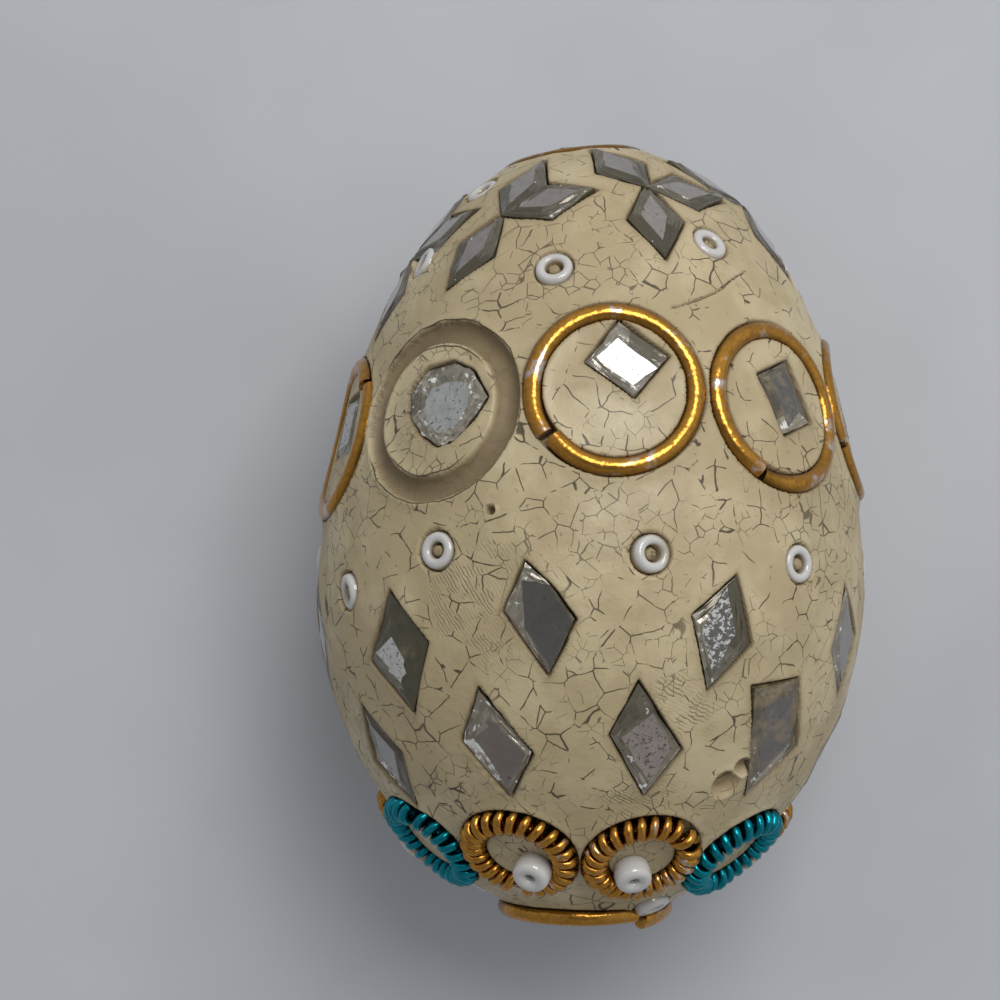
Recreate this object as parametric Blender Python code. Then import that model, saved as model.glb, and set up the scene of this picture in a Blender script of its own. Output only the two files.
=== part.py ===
"""Decorative egg: a clay egg set with mirror glass, wire rings, spring rings and glass beads.

The egg is built upright round its own long axis, narrow end up, and then laid on its side under an
empty: narrow end towards +Y, a little lower than the blunt end, on a small flat resting spot whose
middle is the origin. Every piece is set at a site on the clay, in a pocket or groove of its own shape.
"""

import math

import bmesh
import bpy
from mathutils import Matrix, Vector

# The clay egg, in metres
EGG_DIAMETER = 0.0466
NARROW_LENGTH = 0.0381
BLUNT_LENGTH = 0.0280
NARROW_CURVE = (1.86, 2.23)
BLUNT_CURVE = (1.90, 1.85)
CLAY_SIDES = 32
CLAY_BANDS = 9

# How the egg lies
LIE_TILT = math.radians(2.0)
REST_FLAT_DEPTH = 0.00045
REST_CLEAR_ANGLE = 18
LOWER_ROW_CLEAR_ANGLE = 30

# How the pieces sit in the clay
SETTING_GAP = 0.0003
GLASS_SUNK = 0.0004

# Belt of split wire rings round the narrow half
RINGS_AROUND = 9
RING_BELT_SHARE = 0.40
RING_FIRST_ANGLE = 1.8
WIRE_DIAMETER = 0.0016
WIRE_PROUD = 0.0006
UNDER_RINGS = (4, 5)
UNDER_WIRE_PROUD = 0.0004
RING_SPLIT = 0.0006
RING_STEPS = 12
LOST_RING = 8
RING_SHIFTS = {5: -0.0012, 6: -0.0030, 7: -0.0030, 8: -0.0012, 0: 0.0006}
SPLIT_ANGLES = (218, 240, 150, 230, 300, 200, 120, 43)

# Square mirrors inside the wire rings
MIRROR_LENGTH = 0.0050
MIRROR_WIDTH = 0.0040
MIRROR_THICKNESS = 0.0012
CHIPPED_MIRROR_DIAMETER = 0.0062
CHIPPED_MIRROR_SIDES = 7
MIRROR_OFFSET_SHARES = {0: (0.13, 0.26), 1: (0.12, 0.06), 7: (0.32, 0.15), 8: (0.20, 0.12)}
MIRROR_TURNS = (-34, 20, -28, 15, 40, -12, 30, 10, 0)

# Glass diamonds
DIAMOND_LENGTH = 0.0090
DIAMOND_WIDTH = 0.0054
DIAMOND_THICKNESS = 0.0012
UPPER_ROW_COUNT = 10
UPPER_ROW_SHARE = -0.115
UPPER_ROW_SEEN = ((-80, -0.0013, 0), (-43.5, -0.0018, 12), (-11.5, 0.0012, 13), (23.8, 0.0003, -11),
                  (62.2, -0.0003, 12))
LOWER_ROW_COUNT = 11
LOWER_ROW_SHARE = -0.425
LOWER_ROW_SEEN = ((-56.5, -0.0020, 14), (-21.7, 0.0001, 12), (10.5, 0.0007, 12), (43.2, 0.0006, -14),
                  (78, -0.0010, 0))

# Crosses of three small diamonds round the narrow end's ring
CROSS_COUNT = 8
CROSS_DISTANCE = 0.0138
CROSS_HEADINGS = (0, 180, -90)
CROSSES_SEEN = ((-69.5, 0.0002, (0, 0, 40)), (-25.2, -0.0005, (-10, -33, 23)), (26.2, -0.0005, (12, -11, 0)),
                (72.5, 0.0012, (32, -11, 0)))
CROSS_DIAMOND_LENGTH = 0.0080
CROSS_DIAMOND_WIDTH = 0.0047
TIP_OVERLAP = 0.0006

# Spring rings round the blunt end
COILS_AROUND = 9
COIL_SHARE = -0.755
COIL_FIRST_ANGLE = -63.0
COIL_TUBE = 0.0023
COIL_PROUD = 0.0013
COIL_STEPS = 10
TURQUOISE_EVERY = 3

# Ring and mirror at the middle of each end
NARROW_RING_RADIUS = 0.0058
BLUNT_RING_RADIUS = 0.0064
BLUNT_WIRE_PROUD = 0.0011
CAP_MIRROR_SIZE = 0.0056
NARROW_CAP_SHIFT = -0.0026
BLUNT_CAP_SHIFT = 0.0004
NARROW_CAP_SPLIT = 200
BLUNT_CAP_SPLIT = 52
CAP_MIRROR_TURN = 30

# Glass seed beads
BEAD_DIAMETER = 0.0030
BEAD_FLATNESS = 0.7
BEAD_PROUD = 0.0004
COIL_BEAD_PROUD = 0.0016
BEADS_SEEN = ((-0.02, -59.3), (0.075, -33.4), (0.08, 9.1), (0.07, 42.9), (0.67, -14.1), (0.745, 32.2),
              (-0.90, 37.0))
LOST_BEAD = (-0.53, 33.0)

UP_SIDE = Vector((0, -1, 0))
NARROW_WAY = Vector((0, 0, 1))


def clay_reach(z):
    """Half length and the two curve powers of the half that a height belongs to."""
    if z >= 0:
        return NARROW_LENGTH, NARROW_CURVE
    return BLUNT_LENGTH, BLUNT_CURVE


def clay_level(point):
    """Below zero inside the clay, zero on its skin and above zero outside it."""
    length, (along, across) = clay_reach(point.z)
    out = math.hypot(point.x, point.y) / (EGG_DIAMETER / 2)
    return (abs(point.z) / length) ** along + out ** across - 1


def clay_normal(point):
    """Outward direction of the skin at a point on it."""
    length, (along, across) = clay_reach(point.z)
    radius = math.hypot(point.x, point.y)
    outward = across * (radius / (EGG_DIAMETER / 2)) ** (across - 1) / (EGG_DIAMETER / 2)
    upward = along * (abs(point.z) / length) ** (along - 1) / length
    side = Vector((point.x, point.y, 0)).normalized()
    return (side * outward + Vector((0, 0, math.copysign(upward, point.z)))).normalized()


def clay_radius(z):
    """Radius of the egg at a height above its widest section."""
    length, (along, across) = clay_reach(z)
    return EGG_DIAMETER / 2 * max(0.0, 1 - (abs(z) / length) ** along) ** (1 / across)


def bisect(below, above, is_below):
    """Value between two ends where a test changes from true to false."""
    for _ in range(40):
        middle = (below + above) / 2
        if is_below(middle):
            below = middle
        else:
            above = middle
    return (below + above) / 2


class Site:
    """A place on the clay, with the way out of it, the way east and the way north along the skin."""

    def __init__(self, point, toward=NARROW_WAY):
        self.point = point
        self.normal = clay_normal(point)
        self.north = (toward - self.normal * toward.dot(self.normal)).normalized()
        self.east = self.north.cross(self.normal)

    def on_skin(self, x, y):
        """Point of the skin straight below an offset in this site's own plane."""
        above = self.point + self.east * x + self.north * y + self.normal * SETTING_GAP
        inward = -self.normal
        depth = bisect(0.0, EGG_DIAMETER / 4, lambda d: clay_level(above + inward * d) > 0)
        return above + inward * depth

    def moved(self, x, y):
        """The site at an offset along the skin, with its north kept."""
        return Site(self.on_skin(x, y), self.north)

    def frame(self, turn=0.0, depth=0.0):
        """Placing matrix: z out of the clay, y turned counter-clockwise from north by degrees."""
        axes = Matrix((self.east, self.north, self.normal)).transposed().to_4x4()
        place = Matrix.Translation(self.point - self.normal * depth)
        return place @ axes @ Matrix.Rotation(math.radians(turn), 4, "Z")


def side_site(share, angle, along=0.0):
    """Site at a share of its half's length from the widest section, at an angle from the up side."""
    z = share * (NARROW_LENGTH if share >= 0 else BLUNT_LENGTH) + along
    radius = clay_radius(z)
    a = math.radians(angle)
    return Site(Vector((radius * math.sin(a), -radius * math.cos(a), z)))


def end_site(end, x, y, toward=UP_SIDE):
    """Site on the narrow or blunt end, at a place across the long axis: x sideways, y to the up side."""
    out = math.hypot(x, y) / (EGG_DIAMETER / 2)
    length, (along, across) = clay_reach(end)
    height = length * (1 - out ** across) ** (1 / along)
    return Site(Vector((x, -y, math.copysign(height, end))), toward)


def around_cap(angle, distance):
    """Site round the middle of the narrow end's ring, with its north towards that ring."""
    a = math.radians(angle)
    x = NARROW_CAP_SHIFT + distance * math.sin(a)
    site = end_site(1, x, distance * math.cos(a))
    return Site(site.point, end_site(1, NARROW_CAP_SHIFT, 0).point - site.point)


def fill_far_side(seen, count, clear=REST_CLEAR_ANGLE):
    """The angles seen in front, and the rest of the count on both sides of the resting spot."""
    first_side = (count - len(seen)) // 2
    last_side = count - len(seen) - first_side
    first_step = (180 - clear - seen[-1]) / first_side
    last_step = (seen[0] + 180 - clear) / last_side
    angles = list(seen) + [seen[-1] + first_step * (k + 1) for k in range(first_side)]
    return angles + [180 + clear + last_step * k for k in range(last_side)]


def belt_radius(share, count, thickness):
    """Radius of rings of a wire that stand side by side round the egg with the setting gap between."""
    radius = clay_radius(share * (NARROW_LENGTH if share >= 0 else BLUNT_LENGTH))
    half_step = math.pi / count
    clear = math.asin((thickness + SETTING_GAP) / 2 / radius)
    return radius * math.sin(half_step - clear)


def clear_scene():
    """Remove whatever the file holds."""
    for item in list(bpy.data.objects):
        bpy.data.objects.remove(item, do_unlink=True)


def make_material(name, color, roughness, metallic=0.0):
    """A plain Principled material."""
    material = bpy.data.materials.new(name)
    material.use_nodes = True
    shader = material.node_tree.nodes["Principled BSDF"]
    shader.inputs["Base Color"].default_value = (*color, 1.0)
    shader.inputs["Roughness"].default_value = roughness
    shader.inputs["Metallic"].default_value = metallic
    return material


def mesh_from(bm, name):
    """A mesh with outward faces from a bmesh."""
    bmesh.ops.recalc_face_normals(bm, faces=bm.faces)
    mesh = bpy.data.meshes.new(name)
    bm.to_mesh(mesh)
    bm.free()
    return mesh


def clay_mesh():
    """The egg, turned from its profile round the long axis."""
    bm = bmesh.new()
    facet_turn = Matrix.Rotation(math.pi / CLAY_SIDES, 3, "Z")
    heights = [-BLUNT_LENGTH * math.cos(math.pi / 2 * k / CLAY_BANDS) for k in range(CLAY_BANDS)]
    heights += [NARROW_LENGTH * math.sin(math.pi / 2 * k / CLAY_BANDS) for k in range(CLAY_BANDS + 1)]
    profile = [bm.verts.new(facet_turn @ Vector((clay_radius(z), 0, z))) for z in heights]
    edges = [bm.edges.new(pair) for pair in zip(profile, profile[1:])]
    bmesh.ops.spin(bm, geom=profile + edges, axis=NARROW_WAY, cent=(0, 0, 0),
                   angle=math.tau, steps=CLAY_SIDES, use_merge=True)
    bmesh.ops.remove_doubles(bm, verts=bm.verts, dist=1e-6)
    mesh = mesh_from(bm, "clay_egg")
    mesh.shade_smooth()
    mesh.set_sharp_from_angle(angle=math.radians(25))
    return mesh


def plate_mesh(name, outline, top, bottom):
    """A flat plate between two levels with an outline of (x, y) corners."""
    bm = bmesh.new()
    face = bm.faces.new([bm.verts.new((x, y, bottom)) for x, y in outline])
    made = bmesh.ops.extrude_face_region(bm, geom=[face])
    risen = [item for item in made["geom"] if isinstance(item, bmesh.types.BMVert)]
    bmesh.ops.translate(bm, verts=risen, vec=(0, 0, top - bottom))
    return mesh_from(bm, name)


def diamond_outline(length, width, margin=0.0):
    """Corners of a diamond, long way along y, moved out by a margin square to its sides."""
    x, y = width / 2, length / 2
    grown = 1 + margin * math.hypot(x, y) / (x * y)
    return [(0, -y * grown), (x * grown, 0), (0, y * grown), (-x * grown, 0)]


def square_outline(length, width, margin=0.0):
    """Corners of a rectangle, long way along y."""
    x, y = width / 2 + margin, length / 2 + margin
    return [(-x, -y), (x, -y), (x, y), (-x, y)]


def chipped_outline(diameter, _width, margin=0.0):
    """Corners of the chipped mirror, a rough round."""
    radius = diameter / 2 + margin
    corners = [math.tau * k / CHIPPED_MIRROR_SIDES for k in range(CHIPPED_MIRROR_SIDES)]
    return [(radius * math.cos(a), radius * math.sin(a)) for a in corners]


def bead_mesh():
    """A seed bead: a short round body, flat way up."""
    bm = bmesh.new()
    bmesh.ops.create_uvsphere(bm, u_segments=6, v_segments=4, radius=BEAD_DIAMETER / 2)
    bmesh.ops.scale(bm, vec=(1, 1, BEAD_FLATNESS), verts=bm.verts)
    return mesh_from(bm, "bead")


def ring_path(site, radius, height, start, sweep, steps):
    """Points of a ring that follows the skin, in the site's own frame, at a height above the skin."""
    inverse = site.frame().inverted()
    points = []
    for k in range(steps):
        a = math.radians(start + sweep * k / (steps if sweep == 360 else steps - 1))
        skin = site.on_skin(radius * math.cos(a), radius * math.sin(a))
        points.append(inverse @ (skin + clay_normal(skin) * height))
    return points


def tube_mesh(name, points, thickness, closed):
    """A six-sided tube along points, with its ends capped where it is open."""
    curve = bpy.data.curves.new(name, "CURVE")
    curve.dimensions = "3D"
    curve.bevel_depth = thickness / 2
    curve.bevel_resolution = 1
    curve.use_fill_caps = not closed
    spline = curve.splines.new("POLY")
    spline.points.add(len(points) - 1)
    for spot, point in zip(spline.points, points):
        spot.co = (*point, 1)
    spline.use_cyclic_u = closed
    holder = bpy.data.objects.new(name, curve)
    bm = bmesh.new()
    bm.from_mesh(bpy.data.meshes.new_from_object(holder))
    bpy.data.objects.remove(holder)
    bpy.data.curves.remove(curve)
    bmesh.ops.remove_doubles(bm, verts=bm.verts, dist=1e-6)
    mesh = mesh_from(bm, name)
    mesh.shade_smooth()
    mesh.set_sharp_from_angle(angle=math.radians(70))
    return mesh


class Egg:
    """The laid egg: an empty, its pieces, and the tools that press their places into the clay."""

    def __init__(self):
        self.empty = bpy.data.objects.new("egg_axis", None)
        bpy.context.scene.collection.objects.link(self.empty)
        self.cutters = self.tool_collection("pockets")
        self.beads = self.tool_collection("beads")
        self.bead = bead_mesh()

    def tool_collection(self, name):
        """A collection of hidden tools for a Boolean."""
        collection = bpy.data.collections.new(name)
        bpy.context.scene.collection.children.link(collection)
        return collection

    def add(self, name, mesh, matrix, material=None, collection=None):
        """Put a mesh at a place on the egg, as a piece or, in a tool collection, as a tool."""
        item = bpy.data.objects.new(name, mesh)
        (collection or bpy.context.scene.collection).objects.link(item)
        item.parent = self.empty
        item.matrix_local = matrix
        if material:
            mesh.materials.clear()
            mesh.materials.append(material)
        if collection:
            item.hide_render = True
            item.display_type = "WIRE"
        return item

    def press_bead(self, site, proud=BEAD_PROUD):
        """Fuse a seed bead to the clay at a site."""
        depth = BEAD_DIAMETER * BEAD_FLATNESS / 2 - proud
        self.add("bead", self.bead, site.frame(depth=depth), collection=self.beads)

    def press_plate(self, name, site, outline, size, thickness, turn, material):
        """Set a flat piece of glass in a pocket of its own outline."""
        length, width = size
        plate = plate_mesh(name, outline(length, width), 0.0, -thickness)
        self.press_pocket(name, site, outline(length, width, SETTING_GAP), thickness, turn)
        return self.add(name, plate, site.frame(turn, GLASS_SUNK), material)

    def press_pocket(self, name, site, outline, thickness, turn):
        """Cut the pocket of a flat piece, open outwards."""
        pocket = plate_mesh(name + "_pocket", outline, EGG_DIAMETER / 8, -thickness - SETTING_GAP)
        self.add(name + "_pocket", pocket, site.frame(turn, GLASS_SUNK), collection=self.cutters)

    def press_groove(self, name, site, radius, thickness, proud, steps, start=0.0):
        """Cut the round groove of a ring."""
        points = ring_path(site, radius, proud - thickness / 2, start, 360, steps)
        groove = tube_mesh(name + "_groove", points, thickness + 2 * SETTING_GAP, True)
        self.add(name + "_groove", groove, site.frame(), collection=self.cutters)

    def press_split_ring(self, name, site, radius, split_angle, material, proud=WIRE_PROUD):
        """Set a split wire ring in its groove."""
        half_gap = math.degrees(RING_SPLIT / 2 / radius)
        height = proud - WIRE_DIAMETER / 2
        points = ring_path(site, radius, height, split_angle + half_gap, 360 - 2 * half_gap, RING_STEPS + 1)
        self.press_groove(name, site, radius, WIRE_DIAMETER, proud, RING_STEPS, split_angle)
        self.add(name, tube_mesh(name, points, WIRE_DIAMETER, False), site.frame(), material)


def add_ring_belt(egg, gold, mirror):
    """The belt of split rings with a mirror in each: one ring is lost and leaves its groove."""
    radius = belt_radius(RING_BELT_SHARE, RINGS_AROUND, WIRE_DIAMETER)
    for k in range(RINGS_AROUND):
        angle = RING_FIRST_ANGLE + 360 / RINGS_AROUND * k
        site = side_site(RING_BELT_SHARE, angle, RING_SHIFTS.get(k, 0.0))
        label = f"{k + 1:02d}"
        if k == LOST_RING:
            egg.press_groove("lost_ring", site, radius, WIRE_DIAMETER, WIRE_PROUD, RING_STEPS)
            outline, size = chipped_outline, (CHIPPED_MIRROR_DIAMETER, CHIPPED_MIRROR_DIAMETER)
        else:
            split_angle = SPLIT_ANGLES[k % len(SPLIT_ANGLES)]
            proud = UNDER_WIRE_PROUD if k in UNDER_RINGS else WIRE_PROUD
            egg.press_split_ring(f"gold_ring_{label}", site, radius, split_angle, gold, proud)
            outline, size = square_outline, (MIRROR_LENGTH, MIRROR_WIDTH)
        east, north = MIRROR_OFFSET_SHARES.get(k, (0.0, 0.0))
        spot = site.moved(east * radius, north * radius)
        turn = MIRROR_TURNS[k % len(MIRROR_TURNS)]
        egg.press_plate(f"ring_mirror_{label}", spot, outline, size, MIRROR_THICKNESS, turn, mirror)


def add_diamond_row(egg, name, share, seen, count, clear, mirror):
    """A row of upright diamonds: the seen ones as they lie, the hidden ones straight and even."""
    angles = fill_far_side([angle for angle, _, _ in seen], count, clear)
    for k, angle in enumerate(angles):
        along, turn = seen[k][1:] if k < len(seen) else (0.0, 0)
        site = side_site(share, angle, along)
        egg.press_plate(f"{name}_{k + 1:02d}", site, diamond_outline, (DIAMOND_LENGTH, DIAMOND_WIDTH),
                        DIAMOND_THICKNESS, turn, mirror)


def add_crosses(egg, mirror):
    """Three small diamonds that touch at a tip: one to the end, one away from it and one eastwards."""
    outline = diamond_outline(CROSS_DIAMOND_LENGTH, CROSS_DIAMOND_WIDTH)
    pocket = diamond_outline(CROSS_DIAMOND_LENGTH, CROSS_DIAMOND_WIDTH, SETTING_GAP)
    reach = CROSS_DIAMOND_LENGTH / 2 - TIP_OVERLAP / 2
    for k, angle in enumerate(fill_far_side([angle for angle, _, _ in CROSSES_SEEN], CROSS_COUNT)):
        name = f"diamond_cross_{k + 1:02d}"
        farther, leans = CROSSES_SEEN[k][1:] if k < len(CROSSES_SEEN) else (0.0, (0, 0, 0))
        node = around_cap(angle, CROSS_DISTANCE + farther)
        arms = []
        for heading, lean in zip(CROSS_HEADINGS, leans):
            turn = heading + lean
            site = node.moved(-reach * math.sin(math.radians(turn)), reach * math.cos(math.radians(turn)))
            arm_name = f"{name}_arm_{len(arms) + 1}"
            egg.press_pocket(arm_name, site, pocket, DIAMOND_THICKNESS, turn)
            plate = plate_mesh(arm_name, outline, 0.0, -DIAMOND_THICKNESS)
            arms.append((arm_name, plate, site.frame(turn, GLASS_SUNK)))
        cross = egg.add(name, *arms[0][1:], mirror)
        guides = egg.tool_collection(name + "_arms")
        for arm_name, plate, matrix in arms[1:]:
            add_union(cross, egg.add(arm_name, plate, matrix, collection=guides))


def add_union(target, tool):
    """Join a hidden tool to an object."""
    joined = target.modifiers.new(tool.name, "BOOLEAN")
    joined.operation = "UNION"
    joined.solver = "EXACT"
    joined.object = tool


def add_coils(egg, gold, turquoise):
    """The spring rings round the blunt end; a bead stands up in the middle of each gold one."""
    radius = belt_radius(COIL_SHARE, COILS_AROUND, COIL_TUBE)
    for k in range(COILS_AROUND):
        site = side_site(COIL_SHARE, COIL_FIRST_ANGLE + 360 / COILS_AROUND * k)
        tint = turquoise if k % TURQUOISE_EVERY == 0 else gold
        name = f"{'turquoise' if tint is turquoise else 'gold'}_coil_{k + 1:02d}"
        egg.press_groove(name, site, radius, COIL_TUBE, COIL_PROUD, COIL_STEPS)
        points = ring_path(site, radius, COIL_PROUD - COIL_TUBE / 2, 0, 360, COIL_STEPS)
        egg.add(name, tube_mesh(name, points, COIL_TUBE, True), site.frame(), tint)
        if tint is gold:
            egg.press_bead(site, COIL_BEAD_PROUD)


def add_caps(egg, gold, mirror):
    """The ring and the mirror at the middle of each end."""
    narrow_site = end_site(1, NARROW_CAP_SHIFT, 0)
    blunt_site = end_site(-1, BLUNT_CAP_SHIFT, 0)
    narrow = ("narrow_end", narrow_site, NARROW_RING_RADIUS, NARROW_CAP_SPLIT, WIRE_PROUD)
    blunt = ("blunt_end", blunt_site, BLUNT_RING_RADIUS, BLUNT_CAP_SPLIT, BLUNT_WIRE_PROUD)
    for name, site, radius, split_angle, proud in (narrow, blunt):
        egg.press_split_ring(name + "_ring", site, radius, split_angle, gold, proud)
        egg.press_plate(name + "_mirror", site, square_outline, (CAP_MIRROR_SIZE, CAP_MIRROR_SIZE),
                        MIRROR_THICKNESS, CAP_MIRROR_TURN, mirror)


def add_beads(egg):
    """The seed beads seen from above, and the empty socket of the lost one."""
    for share, angle in BEADS_SEEN:
        egg.press_bead(side_site(share, angle))
    egg.add("lost_bead_socket", egg.bead, side_site(*LOST_BEAD).frame(), collection=egg.cutters)


def lay_down(egg):
    """Turn the egg on its side and set its resting spot on the origin."""
    down = Vector((0, math.cos(LIE_TILT), math.sin(LIE_TILT)))

    def rises_less(z):
        normal = clay_normal(Vector((0, clay_radius(z), z)))
        return normal.z < down.z

    z = bisect(0.0, NARROW_LENGTH / 2, rises_less)
    turn = Matrix.Rotation(-(math.pi / 2 + LIE_TILT), 4, "X")
    lowest = turn @ Vector((0, clay_radius(z), z))
    egg.empty.matrix_world = Matrix.Translation(Vector((0, 0, -REST_FLAT_DEPTH)) - lowest) @ turn


def add_rest_cutter(egg):
    """The block that cuts the small flat resting spot, with its top on the ground."""
    bm = bmesh.new()
    bmesh.ops.create_cube(bm, size=EGG_DIAMETER)
    bmesh.ops.translate(bm, verts=bm.verts, vec=(0, 0, -EGG_DIAMETER / 2))
    block = bpy.data.objects.new("rest_cutter", mesh_from(bm, "rest_cutter"))
    egg.cutters.objects.link(block)
    block.hide_render = True
    block.display_type = "WIRE"


def add_clay(egg, clay):
    """The clay egg, with every pocket cut and every bead fused."""
    body = egg.add("egg_body", clay_mesh(), Matrix.Identity(4), clay)
    for name, operation, tools in (("pockets", "DIFFERENCE", egg.cutters), ("beads", "UNION", egg.beads)):
        modifier = body.modifiers.new(name, "BOOLEAN")
        modifier.operation = operation
        modifier.solver = "EXACT"
        modifier.operand_type = "COLLECTION"
        modifier.collection = tools


def main():
    """Build the egg."""
    clear_scene()
    clay = make_material("clay", (0.50, 0.39, 0.24), 0.5)
    gold = make_material("gold_wire", (0.78, 0.42, 0.10), 0.28, 1.0)
    turquoise = make_material("turquoise_wire", (0.01, 0.30, 0.36), 0.3, 1.0)
    mirror = make_material("mirror_glass", (0.36, 0.36, 0.34), 0.12, 0.8)
    egg = Egg()
    add_ring_belt(egg, gold, mirror)
    add_diamond_row(egg, "upper_diamond", UPPER_ROW_SHARE, UPPER_ROW_SEEN, UPPER_ROW_COUNT,
                    REST_CLEAR_ANGLE, mirror)
    add_diamond_row(egg, "lower_diamond", LOWER_ROW_SHARE, LOWER_ROW_SEEN, LOWER_ROW_COUNT,
                    LOWER_ROW_CLEAR_ANGLE, mirror)
    add_crosses(egg, mirror)
    add_coils(egg, gold, turquoise)
    add_caps(egg, gold, mirror)
    add_beads(egg)
    add_rest_cutter(egg)
    add_clay(egg, clay)
    lay_down(egg)


main()
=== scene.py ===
"""Looks of the decorative egg: crackled clay, cut mirror glass, gilt wire, spring wire and seed beads.

Everything is modelled in the egg's own frame, with its long axis up and the narrow end at the top, and
is then laid down where the frame's pieces lie. Sizes are in metres.
"""

import math
from typing import NamedTuple

import bmesh
import bpy
import numpy as np
from bpy.props import FloatProperty, FloatVectorProperty, IntProperty, PointerProperty
from mathutils import Matrix, Vector, noise


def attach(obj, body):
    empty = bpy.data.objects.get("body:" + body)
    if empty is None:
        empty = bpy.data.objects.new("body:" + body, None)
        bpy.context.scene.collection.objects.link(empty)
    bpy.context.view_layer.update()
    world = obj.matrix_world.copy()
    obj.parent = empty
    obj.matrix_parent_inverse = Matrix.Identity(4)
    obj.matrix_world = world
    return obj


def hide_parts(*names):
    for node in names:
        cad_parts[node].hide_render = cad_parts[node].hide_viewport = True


bl_info = {
    "name": "Decorative egg",
    "version": (1, 0, 0),
    "blender": (4, 5, 0),
    "location": "3D View > Sidebar > Egg",
    "description": "Clay egg set with mirror glass, wire rings, spring rings and seed beads",
    "category": "Object",
}

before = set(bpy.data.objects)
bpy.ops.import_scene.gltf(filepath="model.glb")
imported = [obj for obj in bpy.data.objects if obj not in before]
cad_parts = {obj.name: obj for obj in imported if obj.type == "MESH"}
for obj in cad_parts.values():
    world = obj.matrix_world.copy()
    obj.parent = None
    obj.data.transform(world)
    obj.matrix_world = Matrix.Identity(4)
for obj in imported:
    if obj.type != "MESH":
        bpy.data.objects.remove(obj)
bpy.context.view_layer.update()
MM = 0.001
UP_SIDE = np.array((0.0, -1.0, 0.0))
NARROW_WAY = np.array((0.0, 0.0, 1.0))

# Places on the clay: millimetres from the widest section towards the narrow end, degrees from the up side
LOST_RING = (14.04, -38.2)
LOST_BEAD = (-14.84, 33.0)
PIN_HOLE = (6.1, -22.2)
LOST_BEAD_TAIL = (-13.4, 36.0)
LONG_CRACK = ((22.5, 16.0), (23.0, 20.5), (24.0, 28.5), (25.3, 35.0), (26.3, 42.0))
INK_SMUDGE = (-16.5, -37.2)
HATCHED = (((-1.0, -24.0), 5.0), ((-8.5, 17.0), 3.2), ((-15.5, 10.0), 3.0))
ROW_BEADS_SEEN = ((-0.56, -59.3), (2.86, -33.4), (3.05, 9.1), (2.67, 42.9))
ROW_BEADS_AROUND = 10
UPPER_BEADS_SEEN = ((25.5, -14.1), (28.4, 32.2))
UPPER_BEADS_AROUND = 8
END_BEAD = (33.4, -61.0)
BLUNT_BEADS = ((-25.8, 43.0), (-25.2, 97.0), (-25.2, 157.0), (-25.2, 217.0), (-25.2, 277.0))

# Degrees on each side of the resting spot that stay free of beads
FREE_OF_REST = 18.0

# Round hollows: place, radius, depth, height of the dome inside, all in millimetres, and how much dirt and
# painted shade darken it
HOLLOWS = (
    (LOST_BEAD, 1.25, 1.0, 0.45, 1.0),
    (LOST_BEAD_TAIL, 0.85, 0.8, 0.0, 1.0),
    (PIN_HOLE, 0.42, 0.9, 0.0, 1.6),
)

# How often a search halves its range, for the skin and for the resting spot, and how high over a ring's
# plane the rays to the skin start
HALVINGS = 34
LAYING_HALVINGS = 40
RAY_START = 4.0 * MM

# The clay's mesh: distances from a pressed edge, each with the longest side of a triangle up to there, and
# the longest side elsewhere, in millimetres, on the side that the camera sees and on the far side
SEEN_SIDES = (((0.25, 0.22), (0.6, 0.44), (1.5, 0.78)), 1.2)
FAR_SIDES = (((0.25, 0.45), (0.8, 0.8)), 1.4)
FINER_ROUNDS = 3

# A plate of glass: its depth, how far its slanting sides go down, their chipping and the cuts made for it
PLATE_DEPTH = 1.2 * MM
SLANT_HEIGHT = 0.26 * MM
CHIPPING = 0.035 * MM
SLANT_CUTS = 3

# A ring of wire: its points, half the gap at its split, and over how many degrees its ends are bent away
RING_POINTS = 128
HALF_GAP = 0.30 * MM
BENT_REACH = 42

# Points in one turn of a spring
TURN_POINTS = 14

# A bead: points of its profile, how square that is, steps round it, how wide its hole is as a share of the
# given one, and how far it may lean, in radians
BEAD_PROFILE_POINTS = 12
BEAD_SQUARENESS = 0.65
BEAD_STEPS = 28
HOLE_SHARES = {"flush_beads": 1.15, "standing_beads": 0.62}
BEAD_LEAN = 0.07

# How far a bead stands out of the clay: pressed flush, the first one at the blunt end, in a spring ring
FLUSH_PROUD = 0.14 * MM
BLUNT_PROUD = 0.60 * MM
STANDING_PROUD = 1.8 * MM

# The main light's place and size in metres, and the colours of the light, the sky and the ink
LIGHT_PLACE = (0.12, 0.26, 0.48)
LIGHT_SIZE = 0.28
LIGHT_COLOUR = (1.0, 0.985, 0.96)
SKY_COLOUR = (0.93, 0.96, 1.0)
INK_COLOUR = (0.015, 0.014, 0.018)


class GlassLook(NamedTuple):
    """How one piece of glass is cut and how it looks.

    Corners run counter-clockwise, a diamond's from its lower tip and a square's from its lower right, as
    shares of the frame piece's half width and half length. The tone of the table and of each side is partly
    the glass's own darkness and partly painted reflection: a lighter or darker face stands in for what it
    reflects. Each side's value belongs to the side that starts at the corner of the same number.
    """

    shade: float
    side_tones_and_reflections: tuple
    table: tuple
    outline: tuple
    specks: float = 0.0
    film: float = 0.0
    warm: float = 0.0
    raised: float = 0.42


# Looks of the glass: the first value and the side values are the glass's own tone with painted reflection
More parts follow.
